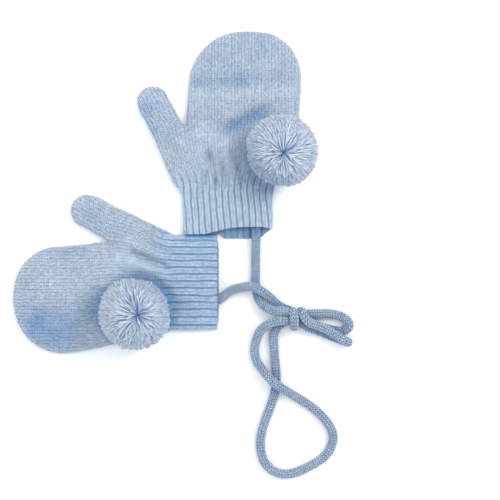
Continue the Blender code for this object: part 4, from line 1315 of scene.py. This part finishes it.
def strandLine(axis, side, angle, reach, petal, rng):
    # a strand leaves the tie, and bends over to its tip
    radius, core = pompom["radius"], pompom["core"] * 0.9
    if petal:
        shares = np.linspace(0, 1, 8)
        low, high = pompom["petalTips"]
        near, less, uneven = pompom["petalBase"]
        start, bending, rising = pompom["petalBend"]
        base = radius * (near - less * (angle - low) / (high - low)) + rng.normal(0, uneven)
        distance = base + (reach - base) * shares**rising
        bend = np.radians(start + (angle - start) * shares**bending)
        sway = rng.normal(0, pompom["petalSway"]) * np.sin(pi * shares * 0.9)
    else:
        shares = np.linspace(0, 1, 3)
        distance = core + (reach - core) * shares
        bend = np.radians(angle - (1 - shares) * pompom["endSlant"])
        sway = rng.normal(0, pompom["endSway"]) * shares
    line = distance[:, None] * (np.cos(bend)[:, None] * axis + np.sin(bend)[:, None] * side)
    return line + sway[:, None] * np.cross(axis, side)


def strandPlan(rng):
    # (degrees from the tie, turn round it, whether it is a petal) of every strand
    low, high = pompom["petalTips"]
    count = pompom["petals"]
    turns = 2 * pi * (np.arange(count) * 0.381966 % 1)
    (clump, clumps), (aside, along) = pompom["petalClumps"], pompom["petalScatter"]
    turns = turns + clump * np.sin(turns * clumps + 1.0) + rng.normal(0, aside, count)
    plan = [(rng.normal(low + (high - low) * (k / count) ** 0.6, along), turn, True)
            for k, turn in enumerate(turns)]
    (first, over, last), (along, aside) = pompom["fewerEnds"], pompom["endScatter"]
    heights = np.linspace(cos(radians(pompom["endsFrom"])), pompom["endsTo"], pompom["ends"])
    for k, height in enumerate(heights):
        angle = np.degrees(np.arccos(float(np.clip(height + rng.normal(0, along), -0.95, 0.88))))
        # fewer of them in among the petals
        if angle < last and rng.random() > (angle - first) / over:
            continue
        plan.append((angle, k * pi * (3 - sqrt(5)) + rng.normal(0, aside), False))
    return plan


def heightUnder(top, spots):
    # the cloth's height under each spot, or the floor's where there is none
    heights = np.zeros(len(spots))
    for k, spot in enumerate(spots):
        near = np.hypot(top[:, 0] - spot[0], top[:, 1] - spot[1]) < 1.0
        heights[k] = top[near, 2].max() if near.any() else 0.0
    return heights


def coreBall(centre, top):
    # the middle of the ball, painted nearly black as the shade seen in the gaps between strands
    rows, around = pompom["coreGrid"]
    tilts = pi * np.arange(1, rows)[:, None] / rows
    turns = 2 * pi * np.arange(around) / around
    rings = np.stack((np.sin(tilts) * np.cos(turns), np.sin(tilts) * np.sin(turns),
                      np.cos(tilts) + 0 * turns), axis=-1).reshape(-1, 3)
    spots = centre + pompom["core"] * np.vstack(((0, 0, 0.97), rings, (0, 0, -1)))
    spots[:, 2] = np.maximum(spots[:, 2], heightUnder(top, spots) + 0.2)
    faces, last = [], len(spots) - 1
    for j in range(around):
        after = (j + 1) % around
        faces.append((0, 1 + j, 1 + after))
        for low in range(1, last - around, around):
            faces.append((low + j, low + j + around, low + after + around, low + after))
        faces.append((last - around + j, last, last - around + after))
    return spots, faces


def makePompom(mitten, material, top):
    rng = np.random.default_rng(mitten["seed"])
    marks = [[*mitten["pompom"], pompom["centreHeight"]], [0, 0, 0], [1, 0, 0], [0, 1, 0]]
    placed = placedPoints(mitten, np.array(marks, float))
    centre, ways = placed[0], (placed[2:] - placed[1]).T
    pressedWay = -ways.sum(axis=1) / sqrt(2)
    star = np.array(mitten["star"])
    axis = np.array([*star, sqrt(pompom["radius"] ** 2 - star @ star)]) / pompom["radius"]
    helper = np.cross(axis, (0, 1.0, 0.2))
    helper /= np.linalg.norm(helper)
    other = np.cross(axis, helper)
    top = top[np.hypot(*(top[:, :2] - centre[:2]).T) < pompom["radius"] + 2]
    (fromSide, sideFade), (below, belowFade) = pompom["pressedFrom"], pompom["pressedBelow"]
    points, faces, tones = [], [], []
    total = 0
    for angle, turn, petal in strandPlan(rng):
        side = helper * cos(turn) + other * sin(turn)
        tip = axis * cos(radians(angle)) + side * sin(radians(angle))
        pressed = easeInOut((tip @ pressedWay - fromSide) / sideFade)
        pressed *= easeInOut((below - tip[2]) / belowFade)
        reach = pompom["radius"] + rng.normal(0, pompom["uneven"]) - pompom["pressed"] * pressed
        line = centre + strandLine(axis, side, angle, reach, petal, rng)
        radius = pompom["petalRadius" if petal else "endRadius"] * rng.uniform(*pompom["thickness"])
        if angle > pompom["restsFrom"]:
            low = np.maximum(heightUnder(top, line) - pompom["sunk"], 0) + radius
            if line[-1][2] < low[-1] - pompom["tooLow"]:
                continue
            line[:, 2] = np.maximum(line[:, 2], low)
        places = np.linspace(0, 1, len(line))
        radii = radius * np.interp(places, *pompom["taper"])
        sides = 5 if petal else 4
        spots, own = tubeAlong(line, radii, sides)
        faces += [tuple(i + total for i in face) for face in own]
        points.append(spots)
        # painted shade on the pressed side, and deeper in along each strand
        tone = rng.uniform(*pompom["tones"]) * (1 - mitten["pressedPaintedShade"] * pressed)
        shadeAlongStrand = np.interp(places, pompom["toneAt"], pompom["petalPaintedShade" if petal else "endPaintedShade"])
        tones.append(np.concatenate((np.repeat(tone * shadeAlongStrand, sides), [tone])))
        total += len(spots)
    spots, own = coreBall(centre, top)
    faces += [tuple(i + total for i in face) for face in own]
    points.append(spots)
    tones.append(np.full(len(spots), pompom["corePaintedShade"]))
    piece = meshObject(mitten["name"] + "_pompomYarn", np.vstack(points), faces, material)
    paint(piece, "tone", np.concatenate(tones))
    register(piece, "pompom_yarn", mitten["name"] + "_pompom")


makeCamera()
makeStudio()
makeCord(knitMaterial("cordKnit", cordYarn), fuzzMaterial("cordFibres", cordYarn))
knit = knitMaterial("blueKnit", clothYarn)
looseFibres = fuzzMaterial("looseFibres", clothYarn)
yarnEnds = pompomMaterial("pompomYarn")
for mitten in (upperMitten, lowerMitten):
    top = makeMitten(mitten, knit, looseFibres)
    makePompom(mitten, yarnEnds, top)
